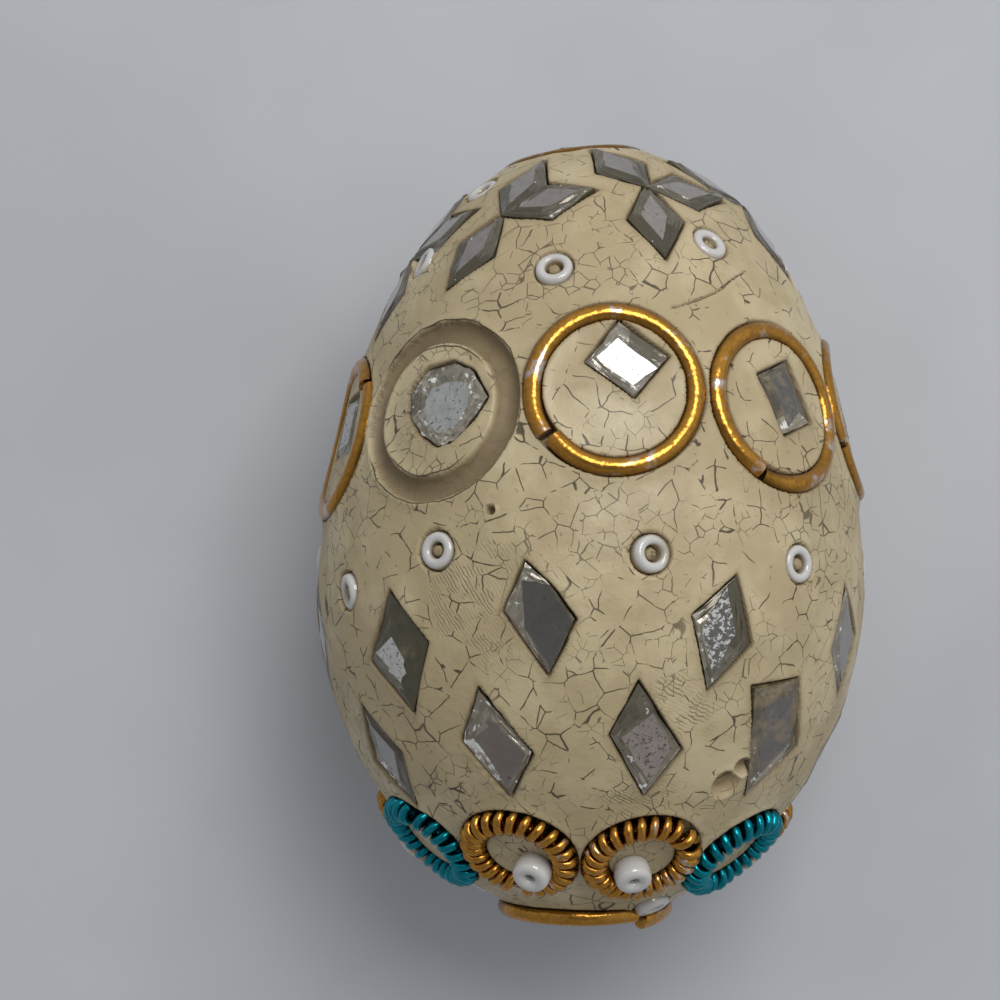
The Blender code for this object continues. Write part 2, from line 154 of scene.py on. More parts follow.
DIAMOND = ((0.0, -1.0), (1.0, 0.0), (0.0, 1.0), (-1.0, 0.0))
SQUARE = ((1.0, -1.0), (1.0, 1.0), (-1.0, 1.0), (-1.0, -1.0))
CROSS_GLASS = GlassLook(
    0.36, (0.02, 0.13, 0.15, 0.03), ((0.0, -0.60), (0.42, 0.06), (0.02, 0.66), (-0.55, 0.10)), DIAMOND,
    specks=0.10, warm=0.8, raised=0.62)
DIAMOND_GLASS = GlassLook(
    0.28, (0.08, 0.14, 0.18, 0.18), ((0.0, -0.66), (0.56, 0.0), (0.0, 0.66), (-0.56, 0.0)), DIAMOND,
    specks=0.2, film=0.1, warm=0.5)
SQUARE_GLASS = GlassLook(
    0.40, (0.2, 0.3, 0.3, 0.2), ((0.7, -0.7), (0.7, 0.7), (-0.7, 0.7), (-0.7, -0.7)), SQUARE,
    specks=0.4, film=0.1, warm=0.4)
GLASS_LOOKS = {
    "ring_mirror_01": GlassLook(
        0.40, (0.42, 0.14, 0.42, 0.42), ((0.62, -0.36), (1.0, 0.55), (-0.92, 0.66), (-1.16, -0.27)),
        ((0.94, -0.64), (1.05, 1.10), (-1.32, 1.16), (-1.36, -0.56))),
    "ring_mirror_02": GlassLook(
        0.11, (0.10, 0.14, 0.06, 0.50), ((0.45, -0.50), (0.60, 0.85), (-0.50, 0.80), (-0.60, -0.75)),
        ((1.0, -0.92), (1.0, 1.15), (-1.0, 1.15), (-1.0, -0.92)),
        specks=0.20, film=0.28, warm=0.3),
    "ring_mirror_09": GlassLook(
        0.50, (0.60, 0.46, 0.40, 0.42, 0.34, 0.30, 0.44, 0.22, 0.50, 0.52),
        ((-0.15, -0.95), (0.35, -0.72), (0.62, -0.25), (0.60, 0.20), (0.30, 0.50), (-0.20, 0.45),
         (-0.62, 0.30), (-0.80, -0.02), (-0.72, -0.40), (-0.50, -0.70)),
        ((-0.17, -1.26), (0.32, -1.12), (0.88, -0.50), (1.14, 0.06), (0.56, 0.78), (-0.10, 1.02),
         (-0.92, 0.84), (-1.36, 0.22), (-1.24, -0.42), (-0.76, -0.95)),
        specks=0.22, film=0.05, warm=0.1, raised=0.5),
    "upper_diamond_02": GlassLook(
        0.80, (0.05, 0.04, 0.05, 0.22), ((-0.19, -0.58), (0.20, -0.20), (-0.10, 0.24), (-0.90, 0.05)),
        ((-0.05, -1.12), (1.25, 0.0), (0.20, 1.0), (-1.25, -0.08)),
        specks=0.24, film=0.18, warm=0.3),
    "upper_diamond_03": GlassLook(
        0.12, (0.22, 0.16, 0.30, 0.42, 0.36),
        ((0.0, -0.90), (0.88, -0.15), (0.39, 0.52), (-0.30, 0.68), (-0.50, -0.14)),
        ((-0.13, -0.97), (0.96, -0.15), (0.48, 0.48), (-0.12, 0.95), (-1.0, 0.22)),
        specks=0.02, warm=0.3),
    "upper_diamond_04": GlassLook(
        0.92, (0.20, 0.05, 0.05, 0.46), ((0.02, -0.70), (0.47, 0.04), (-0.19, 0.80), (-0.66, 0.04)),
        ((0.08, -0.96), (1.05, -0.07), (0.08, 1.0), (-1.0, 0.19)),
        specks=0.62, warm=0.3),
    "upper_diamond_05": GlassLook(
        0.24, (0.18, 0.20, 0.40, 0.34), ((0.0, -0.70), (0.70, 0.0), (0.0, 0.80), (-0.50, 0.10)), DIAMOND,
        specks=0.05, warm=0.5),
    "lower_diamond_01": GlassLook(
        0.30, (0.10, 0.04, 0.05, 0.46), ((0.0, -0.45), (0.60, 0.05), (0.10, 0.60), (-0.35, 0.10)), DIAMOND,
        specks=0.10, film=0.10, warm=0.1),
    "lower_diamond_02": GlassLook(
        0.20, (0.30, 0.34, 0.34, 0.66), ((-0.13, -0.86), (0.78, -0.30), (0.12, 0.36), (-0.64, 0.13)),
        ((-0.20, -1.06), (0.92, -0.33), (-0.03, 0.97), (-1.08, 0.08)),
        specks=0.05, film=0.10, warm=1.0),
    "lower_diamond_03": GlassLook(
        0.46, (0.46, 0.22, 0.16, 0.30), ((-0.05, -0.80), (0.68, -0.28), (0.29, 0.47), (-0.70, 0.12)),
        ((-0.20, -1.08), (0.98, -0.32), (-0.03, 1.05), (-1.0, 0.18)),
        specks=0.30, film=0.10, warm=1.0),
    "lower_diamond_04": GlassLook(
        0.15, (0.42, 0.04, 0.12, 0.16, 0.22),
        ((0.14, -0.70), (0.74, 0.04), (-0.25, 0.85), (-1.35, 0.62), (-0.35, -0.28)),
        ((0.19, -1.12), (1.22, 0.0), (-0.26, 1.15), (-1.90, 0.72), (-0.60, -0.42)),
        specks=0.20, film=0.30, warm=0.6),
}

# How far a ring of wire lies above where the frame's lies, and where each ring is split: degrees
# counter-clockwise from the right, how far outwards its first and its last end stand, and how far each
# stands up, all in millimetres
WIRE_LIFTS = {"blunt_end_ring": 0.10, "narrow_end_ring": -0.28}
RING_ENDS = {
    "gold_ring_01": (218, -0.25, 0.10, 0.10, 0.0),
    "gold_ring_02": (240, 0.05, 0.0, -0.35, 0.28),
    "gold_ring_08": (43, -0.20, 0.30, 0.10, 0.0),
    "blunt_end_ring": (52, 0.10, 0.0, -0.15, 0.45),
}
OTHER_RING_ENDS = (200, 0.1, -0.1, 0.05, 0.0)

# Where a spring ring starts, in degrees, how far round it goes and how far its first end stands up, and
# how far the bead in it stands off its middle, in millimetres
SPRING_ENDS = {"gold_coil_03": (50.0, 336.0, 0.55), "gold_coil_02": (265.0, 350.0, 0.0)}
OTHER_SPRING_END = (354.0, 0.1)
STANDING_BEAD_SHIFTS = {"gold_coil_02": (1.20, -1.10), "gold_coil_03": (-0.75, -0.95)}
OTHER_BEAD_SHIFT = (0.0, -0.6)


class EggSizes(bpy.types.PropertyGroup):
    """Sizes of the egg and of what is set in it."""

    diameter: FloatProperty(
        name="Diameter", description="Width of the egg", default=0.0466, subtype="DISTANCE", precision=5)
    narrow_length: FloatProperty(
        name="Narrow length", description="From the widest section to the narrow end",
        default=0.0381, subtype="DISTANCE", precision=5)
    blunt_length: FloatProperty(
        name="Blunt length", description="From the widest section to the blunt end",
        default=0.0280, subtype="DISTANCE", precision=5)
    narrow_curve: FloatVectorProperty(
        name="Narrow curve", description="Powers of the narrow half, along and across", size=2,
        default=(1.86, 2.23))
    blunt_curve: FloatVectorProperty(
        name="Blunt curve", description="Powers of the blunt half, along and across", size=2,
        default=(1.90, 1.85))
    tilt: FloatProperty(
        name="Tilt", description="How far the narrow end is lowered", default=math.radians(2.0),
        subtype="ANGLE")
    rest_depth: FloatProperty(
        name="Rest depth", description="Depth of the flat resting spot", default=0.00045,
        subtype="DISTANCE", precision=5)
    wire: FloatProperty(
        name="Wire", description="Thickness of the ring wire", default=0.0016, subtype="DISTANCE",
        precision=5)
    spring: FloatProperty(
        name="Spring", description="Outer thickness of the spring wire's winding", default=0.0023,
        subtype="DISTANCE", precision=5)
    spring_wire: FloatProperty(
        name="Spring wire", description="Thickness of the wire that a spring is wound from",
        default=0.00080, subtype="DISTANCE", precision=5)
    spring_turns: IntProperty(name="Spring turns", description="Turns in one spring ring", default=24)
    bead: FloatProperty(
        name="Bead", description="Width of a seed bead", default=0.0031, subtype="DISTANCE", precision=5)
    bead_height: FloatProperty(
        name="Bead height", description="Thickness of a seed bead", default=0.0020, subtype="DISTANCE",
        precision=5)
    bead_hole: FloatProperty(
        name="Bead hole", description="Width of a seed bead's hole", default=0.0011, subtype="DISTANCE",
        precision=5)


class EggColours(bpy.types.PropertyGroup):
    """Colours of the egg and of what is set in it."""

    clay: FloatVectorProperty(
        name="Clay", description="Clean clay", subtype="COLOR", default=(0.42, 0.335, 0.190))
    clay_pale: FloatVectorProperty(
        name="Pale clay", description="Rubbed clay", subtype="COLOR", default=(0.52, 0.43, 0.26))
    clay_dull: FloatVectorProperty(
        name="Dull clay", description="Darker clouds in the clay", subtype="COLOR",
        default=(0.34, 0.26, 0.14))
    # Dark brown in pores, pocket walls and cracks: dirt and the painted shade of these small recesses
    dirt: FloatVectorProperty(
        name="Dirt", description="Brown dirt in the hollows", subtype="COLOR", default=(0.13, 0.090, 0.045))
    # Pale brown of the dirt and painted shade round the set pieces, also used for the clay film on the glass
    # and round the sunk beads
    pale_dirt_and_shade: FloatVectorProperty(
        name="Pale dirt", description="Dusty dirt round the set pieces", subtype="COLOR",
        default=(0.27, 0.20, 0.11))
    crack: FloatVectorProperty(
        name="Crack", description="Inside of the fine cracks", subtype="COLOR",
        default=(0.055, 0.038, 0.018))
    gold: FloatVectorProperty(
        name="Gold", description="Gilding of the wire", subtype="COLOR", default=(0.52, 0.25, 0.044))
    gold_worn: FloatVectorProperty(
        name="Worn gold", description="Bare metal under the gilding", subtype="COLOR",
        default=(0.60, 0.53, 0.50))
    turquoise: FloatVectorProperty(
        name="Turquoise", description="Lacquer on the turquoise springs", subtype="COLOR",
        default=(0.008, 0.24, 0.30))
    turquoise_worn: FloatVectorProperty(
        name="Worn turquoise", description="Lacquer rubbed pale", subtype="COLOR",
        default=(0.03, 0.40, 0.48))
    silver: FloatVectorProperty(
        name="Silver", description="Silvering behind the glass", subtype="COLOR", default=(0.80, 0.82, 0.78))
    silver_warm: FloatVectorProperty(
        name="Warm silver", description="Silvering that has gone pinkish", subtype="COLOR",
        default=(0.62, 0.51, 0.46))
    rim: FloatVectorProperty(
        name="Glass rim", description="Thick side of the glass", subtype="COLOR",
        default=(0.060, 0.048, 0.022))
    rim_clear: FloatVectorProperty(
        name="Clear rim", description="Slanting side with the clay shining through", subtype="COLOR",
        default=(0.50, 0.45, 0.36))
    slate: FloatVectorProperty(
        name="Slate", description="Dark glass", subtype="COLOR", default=(0.030, 0.032, 0.032))
    slate_warm: FloatVectorProperty(
        name="Warm slate", description="Dark glass that has gone brownish", subtype="COLOR",
        default=(0.090, 0.062, 0.052))
    bead: FloatVectorProperty(
        name="Bead", description="White bead glass", subtype="COLOR", default=(0.55, 0.535, 0.515))
    floor: FloatVectorProperty(
        name="Floor", description="Pale floor", subtype="COLOR", default=(0.50, 0.515, 0.55))


class EggStage(bpy.types.PropertyGroup):
    """The camera and the light."""

    camera_height: FloatProperty(
        name="Camera height", description="Above the egg's long axis", default=0.1953, subtype="DISTANCE")
    camera_shift: FloatVectorProperty(
        name="Camera place", description="From the egg's widest section, to the right and to the top",
        size=2, subtype="XYZ_LENGTH", default=(-0.00772, 0.00783))
    camera_turn: FloatProperty(
        name="Camera turn", description="Turn of the picture", default=0.0296, subtype="ANGLE")
    lens: FloatProperty(name="Lens", description="Focal length in millimetres", default=81.6)
    key_power: FloatProperty(name="Key power", description="Power of the soft main light", default=1.6)
    sky: FloatProperty(name="Sky", description="Strength of the surrounding light", default=0.47)


class EggForm:
    """The plain form of the egg round its own long axis, and how it lies."""

    def __init__(self, sizes):
        self.radius = sizes.diameter / 2
        self.narrow_length = sizes.narrow_length
        self.blunt_length = sizes.blunt_length
        self.narrow_curve = tuple(sizes.narrow_curve)
        self.blunt_curve = tuple(sizes.blunt_curve)
        self.place = self.laid(sizes.tilt, sizes.rest_depth)

    def halves(self, z):
        """Half length and the two curve powers at each height."""
        narrow = z >= 0
        length = np.where(narrow, self.narrow_length, self.blunt_length)
        along = np.where(narrow, self.narrow_curve[0], self.blunt_curve[0])
        across = np.where(narrow, self.narrow_curve[1], self.blunt_curve[1])
        return length, along, across

    def level(self, points):
        """Below zero inside the egg, zero on its skin and above zero outside."""
        length, along, across = self.halves(points[..., 2])
        out = np.hypot(points[..., 0], points[..., 1]) / self.radius
        return (np.abs(points[..., 2]) / length) ** along + out ** across - 1

    def height(self, points):
        """Height of points a little over or under the skin."""
        step = 0.01 * MM
        inner = self.level(points - self.normals(points) * step)
        here = self.level(points)
        return here * step / (here - inner)

    def normals(self, points):
        """Outward directions of the skin at points on it."""
        length, along, across = self.halves(points[..., 2])
        out = np.maximum(np.hypot(points[..., 0], points[..., 1]), 1e-9)
        sideways = across * (out / self.radius) ** (across - 1) / self.radius / out
        upward = along * (np.abs(points[..., 2]) / length) ** (along - 1) / length
        upward = np.copysign(upward, points[..., 2])
        ways = np.stack((points[..., 0] * sideways, points[..., 1] * sideways, upward), axis=-1)
        return ways / np.linalg.norm(ways, axis=-1, keepdims=True)

    def reach(self, start, ways, farthest):
        """Points where rays from inside the egg, or towards it from outside, meet its skin."""
        start_inside = self.level(start) < 0
        near = np.zeros(len(start))
        far = np.full(len(start), farthest)
        for _ in range(HALVINGS):
            middle = (near + far) / 2
            same = (self.level(start + ways * middle[:, None]) < 0) == start_inside
            near = np.where(same, middle, near)
            far = np.where(same, far, middle)
        return start + ways * near[:, None]

    def skin_at(self, station, angle):
        """Point of the skin at a station in metres and an angle in degrees."""
        a = math.radians(angle)
        start = np.array([[0.0, 0.0, station]])
        way = np.array([[math.sin(a), -math.cos(a), 0.0]])
        return self.reach(start, way, self.radius * 1.1)[0]

    def laid(self, tilt, rest_depth):
        """Matrix that lays the egg down with its resting spot at the origin."""
        down = np.array((0.0, math.cos(tilt), math.sin(tilt)))
        low, high = 0.0, self.narrow_length / 2
        for _ in range(LAYING_HALVINGS):
            station = (low + high) / 2
            if self.normals(self.skin_at(station, 180.0))[2] < down[2]:
                low = station
            else:
                high = station
        turn = Matrix.Rotation(-(math.pi / 2 + tilt), 4, "X")
        lowest = turn @ Vector(self.skin_at(low, 180.0))
        return Matrix.Translation(Vector((0, 0, -rest_depth)) - lowest) @ turn

    def own(self, points):
        """World points in the egg's own frame."""
        back = np.array(self.place.inverted())
        return np.asarray(points, float) @ back[:3, :3].T + back[:3, 3]


class Setting:
    """A place on the egg with its own way east, way north and way out."""

    def __init__(self, centre, normal, north):
        self.centre = np.asarray(centre, float)
        self.normal = normal / np.linalg.norm(normal)
        north = north - self.normal * (north @ self.normal)
        self.north = north / np.linalg.norm(north)
        self.east = np.cross(self.north, self.normal)

    def local(self, points):
        """Points as east, north and height, in this place's frame."""
        return (points - self.centre) @ np.stack((self.east, self.north, self.normal), axis=1)

    def around(self, x, y):
        """Point in this place's own plane."""
        return self.centre + np.multiply.outer(x, self.east) + np.multiply.outer(y, self.north)

    def matrix(self, form, depth=0.0):
        """Placing matrix in the world."""
        axes = Matrix((self.east, self.north, self.normal)).transposed().to_4x4()
        return form.place @ Matrix.Translation(Vector(self.centre - self.normal * depth)) @ axes


def setting_at(form, place):
    """Setting on the skin at a place in millimetres and degrees."""
    point = form.skin_at(place[0] * MM, place[1])
    return Setting(point, form.normals(point), NARROW_WAY)


def node_points(form, name):
    """The corners of a frame node, in the egg's own frame, each once."""
    corners = form.own([vertex.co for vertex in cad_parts[name].data.vertices])
    return np.unique(np.round(corners, 7), axis=0)


class Glass:
    """The top face of one piece of glass: its setting, its half sizes, its outline and its table."""

    def __init__(self, name, points, normal):
        self.name = name
        reach = np.linalg.norm(points[:, None] - points[None], axis=-1)
        first, last = np.unravel_index(np.argmax(reach), reach.shape)
        long_way = points[first] - points[last]
        self.kind = "diamond"
        centre = points.mean(axis=0)
        if "mirror" in name:
            self.kind = "square" if len(points) == 4 else "chipped"
            long_way = self.longest_side(points, centre, normal) if self.kind == "square" else NARROW_WAY
        if long_way @ (NARROW_WAY + 0.2 * UP_SIDE) < 0:
            long_way = -long_way
        rough = Setting(centre, normal, long_way)
        x, y, _ = rough.local(points).T
        middle_x = (x.max() + x.min()) / 2
        middle_y = (y.max() + y.min()) / 2
        if self.kind == "diamond":
            middle_y = (y[np.argmax(x)] + y[np.argmin(x)]) / 2
        self.setting = Setting(rough.around(middle_x, middle_y), normal, rough.north)
        x, y, _ = self.setting.local(points).T
        self.half_width = np.abs(x).max()
        self.half_length = np.abs(y).max()
        plain = SQUARE_GLASS
        if self.kind == "diamond":
            plain = CROSS_GLASS if "cross" in name else DIAMOND_GLASS
        self.look = GLASS_LOOKS.get(name, plain)
        self.outline = self.shares(self.look.outline)
        self.table = self.shares(self.look.table)

    def shares(self, corners):
        """Corners given as shares of the half sizes, in metres."""
        return np.array(corners) * (self.half_width, self.half_length)

    @staticmethod
    def longest_side(points, centre, normal):
        """Direction of the longest side of a rectangle."""
        rough = Setting(centre, normal, NARROW_WAY)
        x, y, _ = rough.local(points).T
        ring = points[np.argsort(np.arctan2(y, x))]
        sides = np.roll(ring, -1, axis=0) - ring
        return sides[np.argmax(np.linalg.norm(sides, axis=1))]

    def outside(self, x, y):
        """Distance outside the outline, below zero inside it, rounded at its corners."""
        rounding = 0.07 * MM
        runs = np.roll(self.outline, -1, axis=0) - self.outline
        total = np.zeros(np.shape(x))
        for corner, run in zip(self.outline, runs):
            apart = ((x - corner[0]) * run[1] - (y - corner[1]) * run[0]) / np.hypot(*run)
            total += np.exp(np.minimum(apart / rounding, 60.0))
        return rounding * np.log(np.maximum(total, 1e-30))


def glass_of(form, name):
    """The pieces of glass in a frame node: one, or the three of a cross."""
    faces = []
    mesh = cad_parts[name].data
    for polygon in mesh.polygons:
        corners = form.own([mesh.vertices[index].co for index in polygon.vertices])
        normal = np.cross(corners[1] - corners[0], corners[2] - corners[0])
        size = np.linalg.norm(normal)
        if size < 1e-12:
            continue
        normal /= size
        if normal @ form.normals(corners.mean(axis=0)) < 0.8:
            continue
        for face in faces:
            if face[0] @ normal > 0.9995:
                face[1].extend(corners)
                face[2] += size
                break
        else:
            faces.append([normal, list(corners), size])
    tops = sorted(faces, key=lambda face: -face[2])[:3 if "cross" in name else 1]
    return [Glass(name, np.unique(np.round(corners, 6), axis=0), normal) for normal, corners, _ in tops]


class Ring:
    """A ring of the frame: its setting, its radius and the height of its middle line over the skin."""

    def __init__(self, form, name):
        self.name = name
        points = node_points(form, name)
        middle = points.mean(axis=0)
        normal = np.linalg.svd(points - middle)[2][2]
        if normal @ form.normals(middle) < 0:
            normal = -normal
        north = NARROW_WAY if abs(normal[2]) < 0.9 else UP_SIDE
        rough = Setting(middle, normal, north)
        x, y, _ = rough.local(points).T
        terms = np.stack((2 * x, 2 * y, np.ones(len(x))), axis=1)
        fit = np.linalg.lstsq(terms, x * x + y * y, rcond=None)[0]
        self.radius = math.sqrt(fit[2] + fit[0] ** 2 + fit[1] ** 2)
        centre = rough.around(fit[0], fit[1])
        skin = form.reach((centre + normal * form.radius / 2)[None], -normal[None], form.radius)[0]
        self.setting = Setting(skin, normal, north)
        self.height = form.height(points).mean()


class PlainRing:
    """A ring place without a frame node."""

    def __init__(self, setting, radius):
        self.setting = setting
        self.radius = radius


def skin_ring(form, ring, angles, radii, heights):
    """Points over the skin round a ring's middle."""
    a = np.radians(angles)
    flat = ring.setting.around(radii * np.cos(a), radii * np.sin(a))
    start = flat + ring.setting.normal * RAY_START
    ways = np.broadcast_to(-ring.setting.normal, start.shape)
    skin = form.reach(start, ways, form.radius)
    return skin + form.normals(skin) * np.asarray(heights)[..., None]


def smooth_step(low, high, values):
    """Zero below low, one above high and smooth between."""
    t = np.clip((values - low) / (high - low), 0, 1)
    return t * t * (3 - 2 * t)


def swell(values, width):
    """A soft bump round zero."""
    return np.exp(-(values / width) ** 2)


def noise_field(points, wavelength, seed):
    """Smooth noise between about -1 and 1 at points."""
    offset = Vector((seed * 7.1, seed * 3.3, seed * 5.7))
    spots = points / wavelength
    return np.fromiter((noise.noise(Vector(spot) + offset) for spot in spots), float, len(spots))


def fill_far_side(seen, count):
    """The angles seen from above, and the rest of the count on both sides of the resting spot."""
    first_side = (count - len(seen)) // 2
    last_side = count - len(seen) - first_side
    first_step = (180 - FREE_OF_REST - seen[-1]) / first_side
    last_step = (seen[0] + 180 - FREE_OF_REST) / last_side
    angles = list(seen) + [seen[-1] + first_step * (k + 1) for k in range(first_side)]
    return angles + [180 + FREE_OF_REST + last_step * k for k in range(last_side)]


def row_places(seen, count):
    """Places of a row of beads: the seen ones and even ones at the far side."""
    stations = [station for station, _ in seen]
    angles = fill_far_side([angle for _, angle in seen], count)
    middle = sum(stations) / len(stations)
    stations += [middle] * (count - len(seen))
    return list(zip(stations, angles))


class Clay:
    """The clay while it is worked: its height over the plain form and the marks for its finish."""

    MARKS = ("dirt", "wall", "ink", "hatch", "smooth")

    def __init__(self, skin, normals):
        self.normals = normals
        self.height = 0.10 * MM * noise_field(skin, 8 * MM, 1) + 0.03 * MM * noise_field(skin, 2.2 * MM, 2)
        self.wobble = 0.09 * MM * noise_field(skin, 1.3 * MM, 3) + 0.04 * MM * noise_field(skin, 0.5 * MM, 4)
        self.marks = {name: np.zeros(len(skin)) for name in self.MARKS}

    def mark(self, name, near, values):
        """Raise a mark to the given values."""
        self.marks[name][near] = np.maximum(self.marks[name][near], values)


class Pressing:
    """Something pressed into the clay round a setting."""

    def __init__(self, setting, reach):
        self.setting = setting
        self.reach = reach

    def near(self, points):
        """Which points it can touch."""
        return np.flatnonzero(np.linalg.norm(points - self.setting.centre, axis=1) < self.reach)


class GlassPocket(Pressing):
    """Pocket of a piece of glass, with the clay swollen round it."""

    GAP = 0.05 * MM
    WALL = 0.18 * MM
    FLOOR = 0.50 * MM
    SWELLING = 0.13 * MM

    def __init__(self, glass):
        super().__init__(glass.setting, np.linalg.norm(glass.outline, axis=1).max() + 3.0 * MM)
        self.glass = glass

    def edge(self, x, y):
        """Distance from the pocket's wall."""
        return np.abs(self.glass.outside(x, y) - self.GAP - self.WALL / 2)

    def press(self, clay, near, x, y, z):
        """Raise the clay round the glass and sink it under the glass."""
        outside = self.glass.outside(x, y) + clay.wobble[near] * 0.5
        raised = clay.height[near] + self.SWELLING * swell(np.maximum(outside, 0), 1.0 * MM)
        floor = -self.FLOOR - z
        open_clay = smooth_step(self.GAP, self.GAP + self.WALL, outside)
        clay.height[near] = floor + (raised - floor) * open_clay
        wall_middle = self.GAP + self.WALL * 0.5
        clay.mark("wall", near, 1 - smooth_step(wall_middle, self.GAP + self.WALL * 1.5, outside))
        # Dirt and painted shade: the clay darkened in a band round the glass
        clay.mark("dirt", near, 0.62 * (1 - smooth_step(0.1 * MM, 0.8 * MM, outside)))
        clay.mark("smooth", near, swell(np.maximum(outside, 0), 0.8 * MM))


class Groove(Pressing):
    """A groove round a ring's middle."""

    def __init__(self, ring, half_width, depth, beyond):
        super().__init__(ring.setting, ring.radius + beyond)
        self.ring = ring
        self.half_width = half_width
        self.depth = depth

    def edge(self, x, y):
        """Distance from the nearer edge of the groove."""
        return np.abs(np.abs(np.hypot(x, y) - self.ring.radius) - self.half_width)


class WireGroove(Groove):
    """Groove that a ring lies in, with a small lip on both sides."""

    def __init__(self, ring, half_width, depth, lip):
        super().__init__(ring, half_width, depth, 3.0 * MM)
        self.lip = lip

    def press(self, clay, near, x, y, z):
        """Sink the groove and raise its lips."""
        off = np.abs(np.hypot(x, y) - self.ring.radius) + clay.wobble[near] * 0.4
        raised = clay.height[near] + self.lip * swell(off - self.half_width - 0.15 * MM, 0.40 * MM)
        open_clay = smooth_step(self.half_width - 0.13 * MM, self.half_width + 0.07 * MM, off)
        clay.height[near] = -self.depth + (raised + self.depth) * open_clay
        # Dirt and painted shade: the groove darkened
        clay.mark("dirt", near, 0.8 * (1 - smooth_step(self.half_width, self.half_width + 0.35 * MM, off)))


class EmptyGroove(Groove):
    """Groove that a lost ring left, round below and with a domed middle."""

    def __init__(self, ring, half_width, depth):
        super().__init__(ring, half_width, depth, 3.5 * MM)

    def press(self, clay, near, x, y, z):
        """Sink the round groove, raise its lips and dome its middle."""
        out = np.hypot(x, y)
        off = np.abs(out - self.ring.radius) + clay.wobble[near] * 0.5
        dome = 0.30 * MM * (1 - smooth_step(0.3, 1.0, out / (self.ring.radius - self.half_width)))
        lips = 0.16 * MM * swell(off - self.half_width - 0.2 * MM, 0.35 * MM)
        roundness = np.sqrt(np.clip(1 - (off / self.half_width) ** 2, 0, 1))
        clay.height[near] += dome + lips - self.depth * roundness
        # Dirt and painted shade: the lost ring's groove darkened towards its floor
        clay.mark("dirt", near, roundness)
        clay.mark("wall", near, 0.60 * (1 - smooth_step(self.half_width * 0.8, self.half_width * 1.05, off)))
        clay.mark("smooth", near, 1 - smooth_step(self.half_width * 0.8, self.half_width * 1.3, off))
        rim = out - self.ring.radius - self.half_width * 0.93
        clay.mark("wall", near, 0.9 * swell(rim, 0.10 * MM) * (y > -0.3 * self.ring.radius))


class BeadSeat(Pressing):
    """Seat of a bead: a round trench with clay left in the bead's hole."""

    def __init__(self, setting, bead_radius, hole_radius, depth):
        super().__init__(setting, bead_radius + 1.5 * MM)
        self.bead_radius = bead_radius
        self.hole_radius = hole_radius
        self.depth = depth

    def edge(self, x, y):
        """Distance from the trench's edges."""
        out = np.hypot(x, y)
        return np.minimum(np.abs(out - self.bead_radius), np.abs(out - self.hole_radius))

    def press(self, clay, near, x, y, z):
        """Sink the trench and raise the clay round it."""
        out = np.hypot(x, y)
        uneven = out + clay.wobble[near] * 0.5
        rim = smooth_step(self.bead_radius - 0.02 * MM, self.bead_radius + 0.16 * MM, uneven)
        plug = 1 - smooth_step(self.hole_radius - 0.15 * MM, self.hole_radius + 0.05 * MM, out)
        raised = clay.height[near] + 0.08 * MM * swell(out - self.bead_radius - 0.3 * MM, 0.4 * MM)
        clay.height[near] = raised * rim - (1 - rim) * (self.depth * (1 - plug) + 0.10 * MM * plug)
        around = 1 - smooth_step(self.bead_radius, self.bead_radius + 0.22 * MM, out)
        # Dirt and painted shade: the clay darkened at and just round the bead's seat
        clay.mark("dirt", near, 0.75 * around)


class Hollow(Pressing):
    """A round hollow, with a small dome in it or none."""

    def __init__(self, setting, radius, depth, dome, dirt):
        super().__init__(setting, radius * 2.5)
        self.radius = radius
        self.depth = depth
        self.dome = dome
        self.dirt = dirt

    def edge(self, x, y):
        """Distance from the hollow's rim."""
        return np.abs(np.hypot(x, y) - self.radius)

    def press(self, clay, near, x, y, z):
        """Sink the hollow."""
        out = np.hypot(x, y) + clay.wobble[near] * 0.6
        sunk = 1 - smooth_step(0.55, 1.12, out / self.radius)
        clay.height[near] += self.dome * swell(out, self.radius * 0.45) - self.depth * sunk
        clay.height[near] += 0.10 * MM * swell(out - self.radius * 1.15, self.radius * 0.25)
        # Dirt and painted shade: the clay darkened inside the hollow
        clay.mark("dirt", near, self.dirt * sunk)


class OpenCrack(Pressing):
    """A long open crack along places on the clay."""

    def __init__(self, form, places, half_width):
        points = np.array([form.skin_at(station * MM, angle) for station, angle in places])
        middle = len(places) // 2
        super().__init__(setting_at(form, places[middle]), np.ptp(points, axis=0).max() + 2.0 * MM)
        self.path = self.setting.local(points)[:, :2]
        self.half_width = half_width

    def edge(self, x, y):
        """Distance from the crack's line."""
        spots = np.stack((x, y), axis=-1)
        nearest = np.full(x.shape, np.inf)
        for start, end in zip(self.path, self.path[1:]):
            run = end - start
            along = np.clip(((spots - start) @ run) / (run @ run), 0, 1)
            apart = np.linalg.norm(spots - start - along[..., None] * run, axis=-1)
            nearest = np.minimum(nearest, apart)
        return nearest

    def press(self, clay, near, x, y, z):
        """Open the crack."""
        off = self.edge(x, y) + clay.wobble[near] * 0.6
        deep = 1 - smooth_step(self.half_width * 0.5, self.half_width * 1.6, off)
        clay.height[near] -= 0.25 * MM * deep
        clay.mark("wall", near, 1.2 * deep)


class Mark(Pressing):
    """A round area with a mark and no change of shape."""

    def __init__(self, setting, name, radius):
        super().__init__(setting, radius * 1.6)
        self.name = name
        self.radius = radius

    def edge(self, x, y):
        """Far from every edge: a mark needs no finer mesh."""
        return np.full(x.shape, np.inf)

    def press(self, clay, near, x, y, z):
        """Put the mark on."""
        clay.mark(self.name, near, 1 - smooth_step(0.4, 1.3, np.hypot(x, y) / self.radius))


